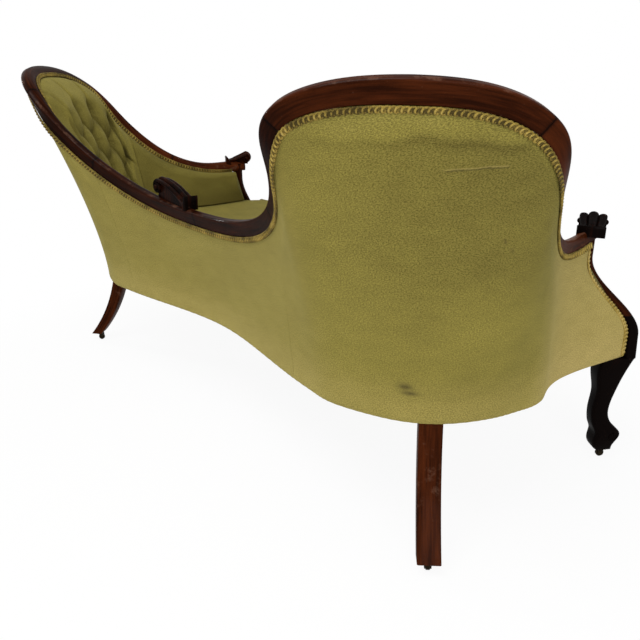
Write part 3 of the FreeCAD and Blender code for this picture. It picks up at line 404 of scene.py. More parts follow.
class Finish(Board):
    def __init__(self, name, fixed):
        self.material = bpy.data.materials.new(name)
        self.material.use_nodes = True
        super().__init__(self.material.node_tree)
        self.shader = self.node("ShaderNodeBsdfPrincipled", None, fixed)
        self.output = self.node("ShaderNodeOutputMaterial", None, {0: self.shader})

    def space(self, stretch=(1.0, 1.0, 1.0)):
        spot = self.node("ShaderNodeTexCoord", None, None, "Object")
        return self.node("ShaderNodeMapping", None, {"Vector": spot, "Scale": stretch})

    def noise(self, vector, scale, detail, roughness):
        return self.node("ShaderNodeTexNoise", None,
                         {"Vector": vector, "Scale": scale, "Detail": detail, "Roughness": roughness})

    def spaceNoise(self, scale, detail, roughness=0.5, stretch=(1.0, 1.0, 1.0)):
        return self.noise(self.space(stretch), scale, detail, roughness)

    def clothNoise(self, scaleU, scaleV, detail, roughness=0.5):
        spot = self.node("ShaderNodeUVMap", {"uv_map": "cloth"})
        spot = self.node("ShaderNodeMapping", None, {"Vector": spot, "Scale": (scaleU, scaleV, 1.0)})
        return self.noise(spot, 1.0, detail, roughness)

    def step(self, value, low, high, toLow=0.0, toHigh=1.0):
        values = {"Value": value, "From Min": low, "From Max": high, "To Min": toLow, "To Max": toHigh}
        return self.node("ShaderNodeMapRange", {"interpolation_type": "SMOOTHSTEP"}, values)

    def blend(self, share, first, second, way="MIX"):
        return self.node("ShaderNodeMix", {"data_type": "RGBA", "blend_type": way},
                         {0: share, 6: first, 7: second}, 2)

    def ramp(self, value, *stops):
        return self.node("ShaderNodeValToRGB", {"stops": stops}, {"Fac": value})

    def mark(self, name):
        return self.node("ShaderNodeAttribute", {"attribute_name": name}, None, 2)

    def paint(self, socket, value):
        self.feed(self.shader.node.inputs[socket], value)

    def done(self, colour, roughness, height, distance, strength):
        relief = {"Height": height, "Distance": distance, "Strength": strength}
        self.paint("Base Color", colour)
        self.paint("Roughness", roughness)
        self.paint("Normal", self.node("ShaderNodeBump", None, relief))
        return self.material


velvetLook = {
    "shade": (0.130, 0.106, 0.022), "middle": (0.240, 0.200, 0.042), "pale": (0.375, 0.315, 0.082),
    "faded": (0.470, 0.365, 0.125), "stain": (0.060, 0.047, 0.018), "tint": (0.80, 0.72, 0.30, 1.0),
    "threads": 900.0, "threadLength": 0.22, "speck": 1.05, "openSpeck": 0.45,
    "outside": (0.34, 0.20, 0.25), "inside": (0.15, 0.34, 0.36),  # tone, uneven nap, painted shade in the folds; the inside's lower tone is painted shade
    "slit": (0.690, 0.514, 0.061, 0.010), "slitEnds": (0.688, 0.823),  # place, height, slope, raggedness
}


def velvetFinish(name, look, outside):
    finish = Finish(name, {"Sheen Weight": 0.12, "Sheen Roughness": 0.5, "Sheen Tint": look["tint"],
                           "Specular IOR Level": 0.12})
    fine, long = look["threads"], look["threads"] * look["threadLength"]
    weave = (finish.clothNoise(long, fine, 2.0) + finish.clothNoise(fine, long, 2.0)) * 0.5
    nap = finish.clothNoise(4.0, 7.0, 5.0, 0.55)
    rubbed = finish.clothNoise(18.0, 40.0, 4.0, 0.6)
    slub = finish.clothNoise(340.0, 480.0, 3.0, 0.65)
    base, uneven, paintedShadeDepth = look["outside" if outside else "inside"]
    # the last term is painted shade: darker in creases, under the brow and low on the pads
    tone = base + nap * uneven + rubbed * 0.12 + finish.mark("edge") * 0.14 - finish.mark("fold") * paintedShadeDepth
    colour = finish.ramp(tone, (0.30, look["shade"]), (0.50, look["middle"]), (0.72, look["pale"]))
    if outside:
        bleached = finish.mark("bleach") * finish.step(rubbed, 0.25, 0.7, 0.78, 1.0)
        colour = finish.blend(bleached, colour, look["faded"])
    speck = finish.step(weave * 0.35 + slub * 0.65, 0.39, 0.61, -0.30, 0.24)
    shade = 1.0 + speck * (look["speck"] + finish.mark("open") * look["openSpeck"])
    grey = finish.node("ShaderNodeCombineColor", None, {0: shade, 1: shade, 2: shade})
    colour = finish.blend(1.0, colour, grey, "MULTIPLY")
    if outside:  # a slit near the top with a pale lip and painted shade in its gap, and the stains
        run = finish.mark("run")
        slitRun, slitRise, slope, ragged = look["slit"]
        first, last = look["slitEnds"]
        slit = finish.mark("rise") - slitRise + (run - slitRun) * slope + (rubbed - 0.5) * ragged
        within = finish.step(run, first, first + 0.012) * finish.step(run, last, last - 0.023)
        lip = finish.step(slit, 0.0004, 0.0016) * finish.step(slit, 0.0040, 0.0020) * within
        colour = finish.blend(lip * 0.30, colour, look["faded"])
        # the slit's gap is painted dark as the shade inside it; the stain mark adds the real stains
        gap = finish.step(slit, -0.0026, -0.0010) * finish.step(slit, 0.0012, -0.0002) * within
        dark = gap * 0.55 + finish.mark("stain") * finish.step(slub, 0.25, 0.55)
        colour = finish.blend(dark, colour, look["stain"])
    return finish.done(colour, 0.82 + nap * 0.16, weave * 0.7 + slub * 0.5 + rubbed * 0.3, 0.0009, 0.5)


mahoganyLook = {
    "dark": (0.0030, 0.0016, 0.0013), "brown": (0.0215, 0.0047, 0.0013), "red": (0.0800, 0.0175, 0.0042),
    "worn": (0.130, 0.062, 0.038), "gloss": 0.01, "coat": 0.012, "edgeCoat": 0.09,
}


def mahoganyFinish(name, look, carved):
    finish = Finish(name, {"Coat Roughness": 0.10, "Coat IOR": 1.45, "Specular IOR Level": look["gloss"]})
    if carved:
        grain = finish.spaceNoise(1.0, 5.0, 0.6, (140.0, 140.0, 9.0))
        figure = finish.spaceNoise(1.0, 3.0, 0.5, (24.0, 24.0, 5.0))
        pores = finish.spaceNoise(1.0, 2.0, 0.5, (900.0, 900.0, 60.0))
    else:
        grain = finish.clothNoise(9.0, 150.0, 5.0, 0.6)
        figure = finish.clothNoise(5.0, 26.0, 3.0)
        pores = finish.clothNoise(60.0, 1100.0, 2.0)
    wear = finish.spaceNoise(38.0, 6.0, 0.65)
    nick = finish.spaceNoise(170.0, 2.0)
    edge = finish.mark("edge")
    # the per-piece tone mark is partly painted shade, darker on pieces that face away from the light
    tone = grain * 0.55 + figure * 0.45 + finish.mark("warm")
    colour = finish.ramp(tone, (0.32, look["dark"]), (0.52, look["brown"]), (0.78, look["red"]))
    rubbed = finish.step(wear + edge * 0.14 + finish.mark("scuff") * 0.25, 0.64, 0.82) * 0.5
    rubbed = rubbed + finish.step(nick, 0.735, 0.775) * 0.25
    colour = finish.blend(rubbed, colour, look["worn"])
    colour = finish.blend(finish.mark("joint"), colour, look["dark"])
    finish.paint("Coat Weight", look["coat"] + grain * 0.010 + edge * look["edgeCoat"] - rubbed * 0.02)
    return finish.done(colour, 0.30 + wear * 0.22 + rubbed * 0.25, grain * 0.6 + pores * 0.4, 0.0004, 0.35)


gimpLook = {"gold": (0.360, 0.255, 0.052), "brown": (0.060, 0.042, 0.010), "cream": (0.60, 0.47, 0.19)}


def gimpFinish(name, look, pale):
    finish = Finish(name, {"Specular IOR Level": 0.10})
    strand = finish.spaceNoise(620.0, 2.0)
    dust = finish.spaceNoise(24.0, 4.0)
    tone = strand * 0.35 + dust * 0.45 + 0.08 + pale + finish.mark("edge") * 0.12
    colour = finish.ramp(tone, (0.30, look["brown"]), (0.48, look["gold"]), (0.74, look["cream"]))
    return finish.done(colour, 0.5 + strand * 0.25, strand, 0.0006, 0.6)


def plainFinish(name, dark, pale, scale, roughness, metal=0.0, stretch=(1.0, 1.0, 1.0)):
    # bare wood and metal
    finish = Finish(name, {"Metallic": metal})
    grain = finish.spaceNoise(scale, 5.0, 0.6, stretch)
    patch = finish.spaceNoise(18.0, 4.0)
    colour = finish.ramp(grain * 0.6 + patch * 0.4, (0.35, dark), (0.68, pale))
    return finish.done(colour, roughness + patch * 0.2, grain, 0.0006, 0.5)


def weaveFinish(name, dark, pale, threads):
    # coarse plain weave for webbing, hessian and the dust cover
    finish = Finish(name, {})
    values = {"Vector": finish.space(), "Scale": threads, "Distortion": 0.6, "Detail": 2.0}
    warp, weft = (finish.node("ShaderNodeTexWave", {"wave_type": "BANDS", "bands_direction": way}, values, 1)
                  for way in ("X", "Y"))
    weave = warp * 0.5 + weft * 0.5
    slub = finish.spaceNoise(60.0, 4.0)
    colour = finish.ramp(weave * 0.6 + slub * 0.4, (0.25, dark), (0.75, pale))
    return finish.done(colour, 0.92, weave + slub * 0.4, 0.0006, 0.6)


velvet = velvetFinish("velvet_outside", velvetLook, True)
# the inside copy is darker overall, as painted shade on the inner faces
shadedPadVelvet = velvetFinish("velvet_inside", velvetLook, False)
mahogany = mahoganyFinish("mahogany", mahoganyLook, False)
carvedMahogany = mahoganyFinish("mahogany_carved", mahoganyLook, True)
gimpGold = gimpFinish("gimp_gold", gimpLook, 0.0)
gimpCream = gimpFinish("gimp_cream", gimpLook, 0.16)
beech = plainFinish("beech", (0.30, 0.18, 0.085), (0.47, 0.31, 0.16), 60.0, 0.5, 0.0, (1.0, 1.0, 0.12))
brass = plainFinish("aged_brass", (0.004, 0.003, 0.002), (0.030, 0.021, 0.011), 90.0, 0.42, 1.0)
springSteel = plainFinish("spring_steel", (0.05, 0.05, 0.055), (0.20, 0.19, 0.18), 120.0, 0.4, 1.0)
webCloth = weaveFinish("webbing", (0.20, 0.14, 0.075), (0.46, 0.36, 0.22), 90.0)
hessianCloth = weaveFinish("hessian", (0.22, 0.15, 0.07), (0.50, 0.38, 0.21), 160.0)
dustCloth = weaveFinish("dust_cover", (0.012, 0.011, 0.010), (0.045, 0.042, 0.038), 220.0)
print("finishes made")


def dress(piece, finish, slotName, *replacing):
    piece.data.materials.append(finish)
    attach(piece, "settee")
    if replacing:
        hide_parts(*replacing)
    return piece


# Show-wood rails
rails = {"depth": 0.034, "round": 0.006, "shoulder": 0.45, "bow": (0.35, 0.84), "step": 0.004,
         "joint": 0.0003, "jointDark": 0.85, "jointWide": 0.0035}
# per-piece wood tone, partly painted shade on rails that face away from the light
railToneAndShade = {  # right, left, scuffs
    "arm_rail": (0.14, 0.16, 0.55), "outer_stile": (0.15, 0.15, 0.0), "crest_rail": (0.09, -0.02, 0.0),
    "inner_stile": (-0.05, -0.05, 0.0), "low_rail": (-0.03, -0.03, 0.0),
}


def arcThrough(first, middle, last, count):
    # the circle's middle by complex numbers, then the turn from point to point
    a, b, c = (complex(*point) for point in (first, middle, last))
    ratio = (c - a) / (b - a)
    centre = a + (b - a) * (ratio - abs(ratio) ** 2) / (ratio - ratio.conjugate())
    start, half, end = np.unwrap(np.angle(np.array((a, b, c)) - centre))
    turn = np.concatenate((np.linspace(start, half, count), np.linspace(half, end, count)[1:]))
    points = centre + abs(a - centre) * np.exp(1j * turn)
    return np.stack((points.real, points.imag), axis=1)


def railSection(half):
    deep, ease, shoulder = rails["depth"], rails["round"], rails["depth"] * rails["shoulder"]
    slant = ease * (1 - math.sqrt(0.5))
    back = np.stack((np.linspace(-half, half - ease, 6), np.zeros(6)), axis=1)
    easing = arcThrough((half - ease, 0), (half - slant, slant), (half, ease), 4)
    top = np.stack((np.full(2, half), np.linspace(ease, shoulder, 4)[1:3]), axis=1)
    bow = arcThrough((half, shoulder), (half * rails["bow"][0], deep * rails["bow"][1]), (-half, deep), 8)
    under = np.stack((np.full(4, -half), np.linspace(deep, 0, 6)[1:5]), axis=1)
    return np.concatenate((back, easing[1:], top, bow, under))


railEdgeMark = np.zeros(len(railSection(railWidths["crest"] / 2)))
railEdgeMark[8:13] = 1.0  # the top, where hands rub
railStops = (station("tip"), station("heel"), station("outerShoulder", "outerCrown", 0.3),
             station("innerShoulder"), station("waist"), station("centre"))
for (name, tones), first, last in zip(railToneAndShade.items(), railStops, railStops[1:]):
    gap = rails["joint"] / halfRun
    places = np.linspace(first + gap, last - gap, int((last - first) * halfRun / rails["step"]) + 2)
    section = np.array([railSection(width / 2) for width in railWidth(places)])
    rings = railPoint(places, section[..., 0], section[..., 1])
    around = len(railEdgeMark)
    fromEnd = np.minimum(places - first, last - places) * halfRun
    marks = {"edge": np.tile(railEdgeMark, len(places)), "scuff": np.full(len(places) * around, tones[2]),
             "joint": np.repeat(rails["jointDark"] * bell(fromEnd, rails["jointWide"]), around)}
    for (side, flip), warm in zip(sides, tones):
        marks["warm"] = np.full(len(places) * around, warm)
        piece = makeTubes(side + "_" + name + "_wood", [rings * flip], marks, 50)
        dress(piece, mahogany, "mahogany", side + "_" + name)
print("rails made")

# Outside covers, tacked under the frame and stretched up to the rails
covers = {
    "thickness": 0.003, "gap": 0.0016, "step": 0.006, "rows": 90, "backRows": 8,
    "bulge": 0.0016, "swell": 0.0006, "roll": 0.004, "rollHigh": 0.006,
    "hollow": 0.0014, "hollowBelow": 0.055, "hollowWide": 0.022,
    "tackPull": 0.0007, "tackHigh": 0.022, "tackPitch": 210,
    "bendAt": 0.215, "bendWide": 0.075, "bendEasing": 40,
    "browHeight": 0.558, "browWave": 0.005,
}
stains = (  # along the cover, height, half length, half height
    (0.671, 0.383, 0.0035, 0.0035), (0.648, 0.367, 0.0035, 0.0035),
    (0.895, 0.082, 0.024, 0.007), (0.880, 0.069, 0.028, 0.005),
)


def coverMarks(u, height, below, spots):
    fromTip = nearPlace(u / halfRun) * halfRun
    edge = np.exp(-height / 0.05) * 0.4 + np.exp(-below / 0.006) * 0.6
    # shade under the sagging brow, then low on the back, then none in the dip
    brow = covers["browHeight"] + covers["browWave"] * (np.sin(u * 23 + 1.2) + 0.5 * np.sin(u * 61))
    fold = bell(brow - height - 0.007, 0.009) * 0.40 + smooth((brow - height) / 0.012) * 0.42
    fold = fold * smooth((below - 0.010) / 0.024) * smooth((height - 0.16) / 0.2)
    fold = fold + 0.16 * smooth((0.30 - height) / 0.2) * smooth((fromTip - 0.35) / 0.2)
    fold = fold * smooth((1.22 - fromTip) / 0.4)
    # paler along the foot, on the arm and in the dip
    bleach = smooth((0.12 - height) / 0.1) * 0.25 + smooth((0.46 - fromTip) / 0.3) * 0.75
    bleach = bleach + 0.12 * smooth((fromTip - 1.05) / 0.25)
    bare = smooth((height - 0.12) / 0.25) * smooth((1.25 - fromTip) / 0.15)
    stain = np.zeros_like(height)
    for spotU, spotHeight, long, high in spots:
        stain = np.maximum(stain, bell(u - spotU, long) * bell(height - spotHeight, high))
    return {"edge": edge, "fold": fold, "bleach": bleach, "open": bare, "stain": stain, "run": u + 0 * height,
            "rise": height}


def coverGrids(first, last, seed, spots):
    places = np.linspace(first, last, int((last - first) * halfRun / covers["step"]) + 2)
    tall = (railEdge(places)[:, 2] - layout["coverLow"])[:, None]
    share = np.linspace(0, 1, covers["rows"])[None]
    level = share * (1 - covers["gap"] / tall)
    height = level * tall
    below = tall - height
    u = places[:, None] * halfRun
    belly = np.sin(math.pi * share)
    tacks = 0.5 + 0.5 * np.sin(u * covers["tackPitch"] + 2 * np.sin(u * 31))
    relief = -covers["bulge"] * belly ** 0.8 - covers["swell"] * ripple(u, height, seed) * belly
    relief = relief + covers["hollow"] * bell(below - covers["hollowBelow"], covers["hollowWide"])
    relief = relief - covers["tackPull"] * np.exp(-height / covers["tackHigh"]) * tacks
    relief = relief + covers["roll"] * np.clip(1 - height / covers["rollHigh"], 0, 1) ** 2
    front = wallPoint(places, level, relief)
    bend = bell(nearPlace(places) * halfRun - covers["bendAt"], covers["bendWide"])[:, None] * (1 - share**3)
    for turn in range(covers["bendEasing"]):  # the cloth spans the bend behind the arm
        eased = front.copy()
        eased[1:-1] = (front[:-2] + 2 * front[1:-1] + front[2:]) / 4
        front = front + (eased - front) * bend[..., None]
    backLevel = np.linspace(0, 1, covers["backRows"])[None] * (1 - covers["gap"] / tall)
    back = wallPoint(places, backLevel, covers["thickness"] + covers["roll"])
    patches = np.cross(np.diff(front[:, :-1], axis=0), np.diff(front[:-1], axis=1))
    area = np.sum(np.linalg.norm(patches, axis=2))
    run = runLengths(front, 0)[-1].max(), runLengths(front, 1)[:, -1].max()
    return front, back, coverMarks(u, height, below, spots), area, run


seam = station("waist")
seamGap = 0.00045 / halfRun
for side, flip in sides:
    spots = stains if side == "right" else ()
    front, back, marks, area, run = coverGrids(station("post"), seam - seamGap, 3, spots)
    piece = makeShell(side + "_outside_cloth", front * flip, back * flip, marks, 50)
    dress(piece, velvet, "velvet", side + "_outside_cover")
    side + "_crest_rail"
    min(area, run[0] * run[1])
front, back, marks, area, run = coverGrids(seam + seamGap, 2 - seam - seamGap, 5, ())
piece = makeShell("centre_outside_cloth", front, back, marks, 50)
dress(piece, velvet, "velvet", "centre_outside_cover")
min(area, run[0] * run[1])
print("outside covers made")

# Inside pads: one surface shape for plain and buttoned pads
pads = {
    "back": 0.0255, "seat": 0.4412, "clear": 0.0012, "top": (0.992, 0.97),
    "armDepth": 0.060, "edgeDepth": 0.074, "centreDepth": 0.076, "spoonDepth": 0.094, "tuckDepth": 0.034,
    "rollStart": 0.80, "hem": 0.012, "hemShare": 0.05, "seamPinch": 0.003, "step": 0.006, "levels": 110,
    "columns": 10, "rows": 5, "columnSteps": 26, "rowSteps": 34, "tuftDepth": 0.040,
    "pleatWide": (0.13, 0.10), "pucker": 0.0016, "puckerWide": 0.026, "gathers": 11,
}


def padSurface(places, share, depth):
    # share runs from the seat to the rail; the top rolls over and tucks in against the rail's front
    low = wallLevel(places, pads["seat"])[:, None]
    under = -railWidth(places) / 2 - pads["clear"]
    frontTop = railPoint(places, under, rails["depth"] - pads["clear"])
    frontEnd, backEnd = pads["top"]
    roll = np.clip((share - pads["rollStart"]) / (1 - pads["rollStart"]), 0, 1)[None]
    hem = np.clip(1 - share / pads["hemShare"], 0, 1)[None]
    depth = mix(pads["tuckDepth"], depth, np.sqrt(np.clip(1 - roll**2.2, 0, 1))) - pads["hem"] * hem**2
    front = wallPoint(places, mix(low, frontEnd, share[None]), depth)
    tuck = frontTop - front[:, -1]
    front = front + tuck[:, None] * (roll**3)[..., None]
    back = wallPoint(places, mix(low, backEnd, np.linspace(0, 1, 9)[None]), pads["back"])
    back[:, -1] = railPoint(places, under, pads["back"])
    return front, back


def creased(first, second):
    # pillow between crossing pleats: nothing at a button, shallow along a pleat, full in the middle
    first, second = np.abs(np.sin(math.pi * first)), np.abs(np.sin(math.pi * second))
    return 0.40 * np.maximum(first, second) ** 0.75 + 0.60 * (first * second) ** 0.55


buttonSpots = [(column, row) for column in range(1, pads["columns"]) for row in range(1, pads["rows"])
               if (column + row) % 2 == 0]


def runsOn(value, spot, last):
    # where a pleat runs on from a button of the outermost line to the pad's edge
    if spot == last:
        return value > last
    return np.where(spot == 1, value < 1, False)


def spoonHeight(column, row):
    lastColumn, lastRow = pads["columns"] - 1, pads["rows"] - 1
    c, r = np.clip(column, 1, lastColumn), np.clip(row, 1, lastRow)
    inside = creased((c + r) / 2, (c - r) / 2)
    away = np.sqrt((column - c) ** 2 + (row - r) ** 2)
    pleat = np.zeros_like(away)
    for spotColumn, spotRow in buttonSpots:
        upright = bell(column - spotColumn, pads["pleatWide"][0]) * runsOn(row, spotRow, lastRow)
        level = bell(row - spotRow, pads["pleatWide"][1]) * runsOn(column, spotColumn, lastColumn)
        pleat = np.maximum(pleat, np.maximum(upright, level))
    beyond = np.clip(away, 0, 1)
    rim = 1.0 + 0.05 * np.sin(math.pi * beyond) - 0.55 * pleat * (1 - 0.6 * beyond)
    return mix(inside, rim, smooth(away / 0.62))


def spoonGrids():
    columns, rows, steps = pads["columns"], pads["rows"], pads["columnSteps"]
    first, last = station("outerStile") + seamGap, station("innerStile") - seamGap
    places = np.linspace(first, last, columns * steps + 1)
    share = np.linspace(0, 1, rows * pads["rowSteps"] + 1)
    column = (np.linspace(0, 1, len(places)) * columns)[:, None]
    row = (share * rows)[None]
    height = spoonHeight(column, row)
    tall = (railEdge(places)[:, 2] - pads["seat"])[:, None]
    middle = baseLine.at(places)[0] * 0.5 + railLine.at(places)[0] * 0.5
    wide = (np.linalg.norm(np.gradient(middle, axis=0), axis=1) * steps)[:, None]
    pucker = np.zeros_like(height)
    for spotColumn, spotRow in buttonSpots:
        across, over = (column - spotColumn) * wide, (row - spotRow) * tall / rows
        away = np.hypot(across, over)
        gathers = np.cos(pads["gathers"] * np.arctan2(over, across) + spotColumn * 1.7 + spotRow)
        pucker += bell(away, pads["puckerWide"]) * gathers * np.clip(away / 0.01, 0, 1)
    depth = pads["spoonDepth"] - pads["tuftDepth"] * (1 - height) + pucker * pads["pucker"]
    depth = depth + 0.0012 * ripple(column * 0.08, row * 0.08, 21, 6, 20, 60)
    ends = np.minimum(column, columns - column)
    depth = mix(depth, pads["edgeDepth"], 1 - smooth(ends / 0.75))
    depth = depth - pads["seamPinch"] * np.clip(1 - ends / 0.1, 0, 1) ** 2
    front, back = padSurface(places, share, depth)
    # painted shade in the creases between the tufts
    marks = {"fold": np.clip(1.15 - height / 0.62, 0, 1) * 1.2, "edge": np.clip(height - 0.8, 0, 1) * 2}
    return front, back, marks, places


def plainGrids(first, last, depthAt, seed):
    run = (last - first) * halfRun
    count = int(run / pads["step"]) + 3
    share = np.linspace(0, 1, pads["levels"])
    along = np.linspace(0, 1, count)[:, None]
    ends = np.minimum(along, 1 - along) * run
    uneven = ripple(along * run, share[None] * 0.3, seed, 6, 12, 34) * smooth(ends / 0.03)
    depth = depthAt(along) + 0.0016 * uneven - pads["seamPinch"] * np.clip(1 - ends / 0.009, 0, 1) ** 2
    front, back = padSurface(np.linspace(first, last, count), share, depth)
    # painted shade over the whole pad, strongest near the seat
    marks = {"fold": 0.12 + 0.25 * (1 - share) ** 2, "edge": 0.3 * np.sin(math.pi * share)}
    return front, back, {mark: np.tile(values, count) for mark, values in marks.items()}


spoonFront, back, marks, spoonPlaces = spoonGrids()
for side, flip in sides:
    piece = makeShell(side + "_buttoned_back", spoonFront * flip, back * flip, marks, 70)
    dress(piece, shadedPadVelvet, "velvet", side + "_spoon_pad")

armStart = station("post", "arm", 0.03)
front, back, marks = plainGrids(armStart, station("outerStile") - seamGap,
                                lambda along: mix(pads["armDepth"], pads["edgeDepth"], along**2), 31)
for side, flip in sides:
    piece = makeShell(side + "_arm_cushion", front * flip, back * flip, marks, 70)
    dress(piece, shadedPadVelvet, "velvet", side + "_arm_pad")


def centreDepth(along):
    return mix(pads["edgeDepth"], pads["centreDepth"], np.sin(math.pi * along) ** 2)


innerSeam = station("innerStile") + seamGap
front, back, marks = plainGrids(innerSeam, 2 - innerSeam, centreDepth, 37)
piece = makeShell("centre_back_cushion", front, back, marks, 70)
dress(piece, shadedPadVelvet, "velvet", "centre_pad")
print("inside pads made")

# Covered buttons, sunk into the tufts
button = {"radius": 0.0105, "height": 0.0052, "lift": 0.0015, "sunk": 0.35, "gather": 0.04, "pleats": 6,
          "top": 2e-5, "rings": 6, "around": 18}


def buttonDomes():
    tilt = np.linspace(0, math.pi / 2, button["rings"])[:, None]
    turn = turnsRound(button["around"])
    gather = 1 + button["gather"] * np.cos(button["pleats"] * turn) * np.cos(tilt)
    spread = np.maximum(button["radius"] * np.cos(tilt) ** 0.8 * gather, button["top"])
    lift = button["lift"] + button["height"] * (np.sin(tilt) - button["sunk"])
    domes = []
    for column, row in buttonSpots:
        i, j = column * pads["columnSteps"], row * pads["rowSteps"]
        inward = wallInward(spoonPlaces[i])[0]
        level = np.cross(inward, up)
        rise = np.cross(level, inward)
        ring = level * np.cos(turn)[:, None] + rise * np.sin(turn)[:, None]
        dome = spoonFront[i, j] + ring * spread[..., None] + inward * lift[..., None]
        domes += [dome * flip for side, flip in sides]
    return domes


dress(makeTubes("covered_buttons", buttonDomes(), None, 60, False), shadedPadVelvet, "velvet", "back_buttons")
print("buttons made")

# Seat pad and front border
seat = {
    "edge": 0.4404, "crown": 0.4585, "margin": 0.035, "frontMargin": 0.003, "half": 0.700, "setback": 0.605,
    "swell": 0.034, "frontHalf": 0.757, "rings": 46, "reach": 0.35, "shoulder": 0.007,
    "wall": (  # height, inset
        (0.3878, 0.005), (0.3938, 0.001), (0.402, -0.0005), (0.418, -0.0005), (0.430, 0.001)),
    "dents": (-0.44, 0.0, 0.44), "dentDepth": 0.004, "dentSize": (0.15, 0.13),
}
seatMiddle = np.array((0.0, layout["spoonY"] - seat["setback"] / 2))


def frontLine(x, depth):
    bow = seat["swell"] * np.sin(math.pi * np.abs(x) / seat["frontHalf"]) ** 2
    return np.stack((x, layout["spoonY"] - seat["setback"] - bow + depth), axis=-1)


def seatOutline(backDepth, frontDepth, count=180, points=360):
    start = station("post", "arm", 0.42)
    places = np.linspace(start, 2 - start, count)
    back = (baseLine.at(places)[0] + baseInward(places) * backDepth)[:, :2]
    front = frontLine(np.linspace(seat["half"], -seat["half"], count), frontDepth)
    shares = np.linspace(0, 1, 14)[1:-1, None]
    closed = np.concatenate((back, mix(back[-1:], front[:1], shares),
                             front, mix(front[-1:], back[:1], shares), back[:1]))
    run = lineRun(closed)
    return pointsAt(np.linspace(0, run[-1], points + 1)[:-1], run, closed)


def seatPiece():
    outline = seatOutline(seat["margin"], seat["frontMargin"])
    rings = [(1 - inset / seat["reach"], np.full(len(outline), height)) for height, inset in seat["wall"]]
    for share in np.linspace(1, 0, seat["rings"])[:-1]:
        shoulder = np.clip((share - 0.975) / 0.025, 0, 1) ** 2 * seat["shoulder"]
        height = mix(seat["edge"], seat["crown"], smooth((0.84 - share) / 0.55)) - shoulder
        x, y = (seatMiddle + (outline - seatMiddle) * share).T
        dentWide, dentDeep = seat["dentSize"]
        dents = sum(bell(x - middle, dentWide) for middle in seat["dents"])
        dents = dents * bell(y - seatMiddle[1], dentDeep)
        uneven = 0.0009 * ripple(x, y, 44, 8, 8, 40) * smooth((0.9 - share) / 0.3)
        rings.append((share, height - seat["dentDepth"] * dents + uneven))
    grid = np.array([np.concatenate((seatMiddle + (outline - seatMiddle) * share, height[:, None]), axis=1)
                     for share, height in rings])
    verts = grid.reshape(-1, 3)
    marks = {"edge": np.full(len(verts), 0.35)}
    return buildMesh("seat_cushion", verts, tubeFaces(*grid.shape[:2]), verts[:, :2], marks, 60)


piece = dress(seatPiece(), shadedPadVelvet, "velvet", "seat_pad")

border = {
    "half": 0.766, "low": 0.2815, "high": 0.4375, "taper": 0.068, "taperStart": 0.387, "taperHigh": 0.028,
    "gap": 0.0009, "backGap": 0.0012, "swell": 0.016,
    "bulge": ((0, 0.45), (0.06, 0.66), (0.3, 0.86), (0.6, 0.98), (0.85, 0.98), (0.96, 0.78), (1, 0.5)),
}


def borderRow(x, depth, height):
    return np.concatenate((frontLine(x, depth), np.full((len(x), 1), height)), axis=1)


def borderPiece():
    x = np.linspace(-border["half"], border["half"], 260)
    share = np.linspace(0, 1, 40)
    height = mix(border["low"], border["high"], share)
    taper = 1 - border["taper"] * smooth((height - border["taperStart"]) / border["taperHigh"])
    swell = np.interp(share, *zip(*border["bulge"])) * border["swell"]
    rubs = 0.0012 * ripple(x[:, None], height[None], 51, 7, 14, 44)
    front = [borderRow(x * narrow, rub - border["gap"] - out, high)
             for narrow, rub, out, high in zip(taper, rubs.T, swell, height)]
    back = [borderRow(x * narrow, -border["backGap"], high)
            for high, narrow in ((height[0], 1), (0.33, 1), (border["taperStart"], 1), (0.410, taper[-1]),
                                 (height[-1], taper[-1]))]
    marks = {"edge": np.tile(0.4 * share**3, len(x))}
    return makeShell("padded_front_border", np.stack(front, 1), np.stack(back, 1), marks, 60)


piece = dress(borderPiece(), shadedPadVelvet, "velvet", "front_border")
print("seat made")

# Gimp: a looped cord lying over a flat tape
gimp = {
    "width": 0.0138, "pitch": 0.0098, "cord": 0.0018, "cordSides": 6, "steps": 20, "lean": 0.0046,
    "lift": 0.0009, "end": 0.004, "tapeShare": 0.36, "tapeHigh": 0.0009, "tapeShade": -1.6,
    "tapeSection": np.array(((-1, -1), (1, -1), (1, 0.2), (0.5, 1), (-0.5, 1), (-1, 0.2))),
    "outside": (-0.0070, -0.0023, -1), "inside": (0.0052, 0.0361, 1),  # over, inwards, way out
    "supportIn": 0.0065, "supportOut": 0.0021, "supportTop": 0.015, "supportLow": 0.02,
}


def gimpTurn(count):
    return np.arange(count) * 2 * math.pi / gimp["steps"]


def gimpTubes(centre, across, out):
    # centre line points, the way across the braid, and the way out of the cloth, all at the same even spacing
    run = lineRun(centre)
    count = int(run[-1] / gimp["pitch"]) * gimp["steps"]
    turn = gimpTurn(count)
    shifted = np.linspace(gimp["end"], run[-1] - gimp["end"], count) + gimp["lean"] * np.sin(turn)
    path, sideways, outwards = (pointsAt(shifted, run, points) for points in (centre, across, out))
    reach = (gimp["width"] / 2 - gimp["cord"]) * np.cos(turn)
    lift = gimp["lift"] * np.sin(turn)
    path = path + sideways * reach[:, None] + outwards * lift[:, None]
    wide, high = (gimp["tapeSection"] * (gimp["width"] * gimp["tapeShare"], gimp["tapeHigh"])).T[..., None]
    tape = centre[::2, None] + across[::2, None] * wide + out[::2, None] * high
    return tubeAlong(path, gimp["cord"], gimp["cordSides"], outwards), tape


def gimpPieces(name, strips, finish, *replacing):
    loops, tapes = zip(*[gimpTubes(*strip) for strip in strips])
    shade = np.concatenate([-np.abs(np.cos(gimpTurn(len(loop)))) for loop in loops])
    marks = {"edge": np.repeat(shade, gimp["cordSides"])}
    dress(makeTubes(name + "_cord", loops, marks, 0, False), finish, "gimp", *replacing)
    shade = np.full(sum(tape.size // 3 for tape in tapes), gimp["tapeShade"])
    dress(makeTubes(name + "_tape", tapes, {"edge": shade}, 60, False), finish, "gimp")


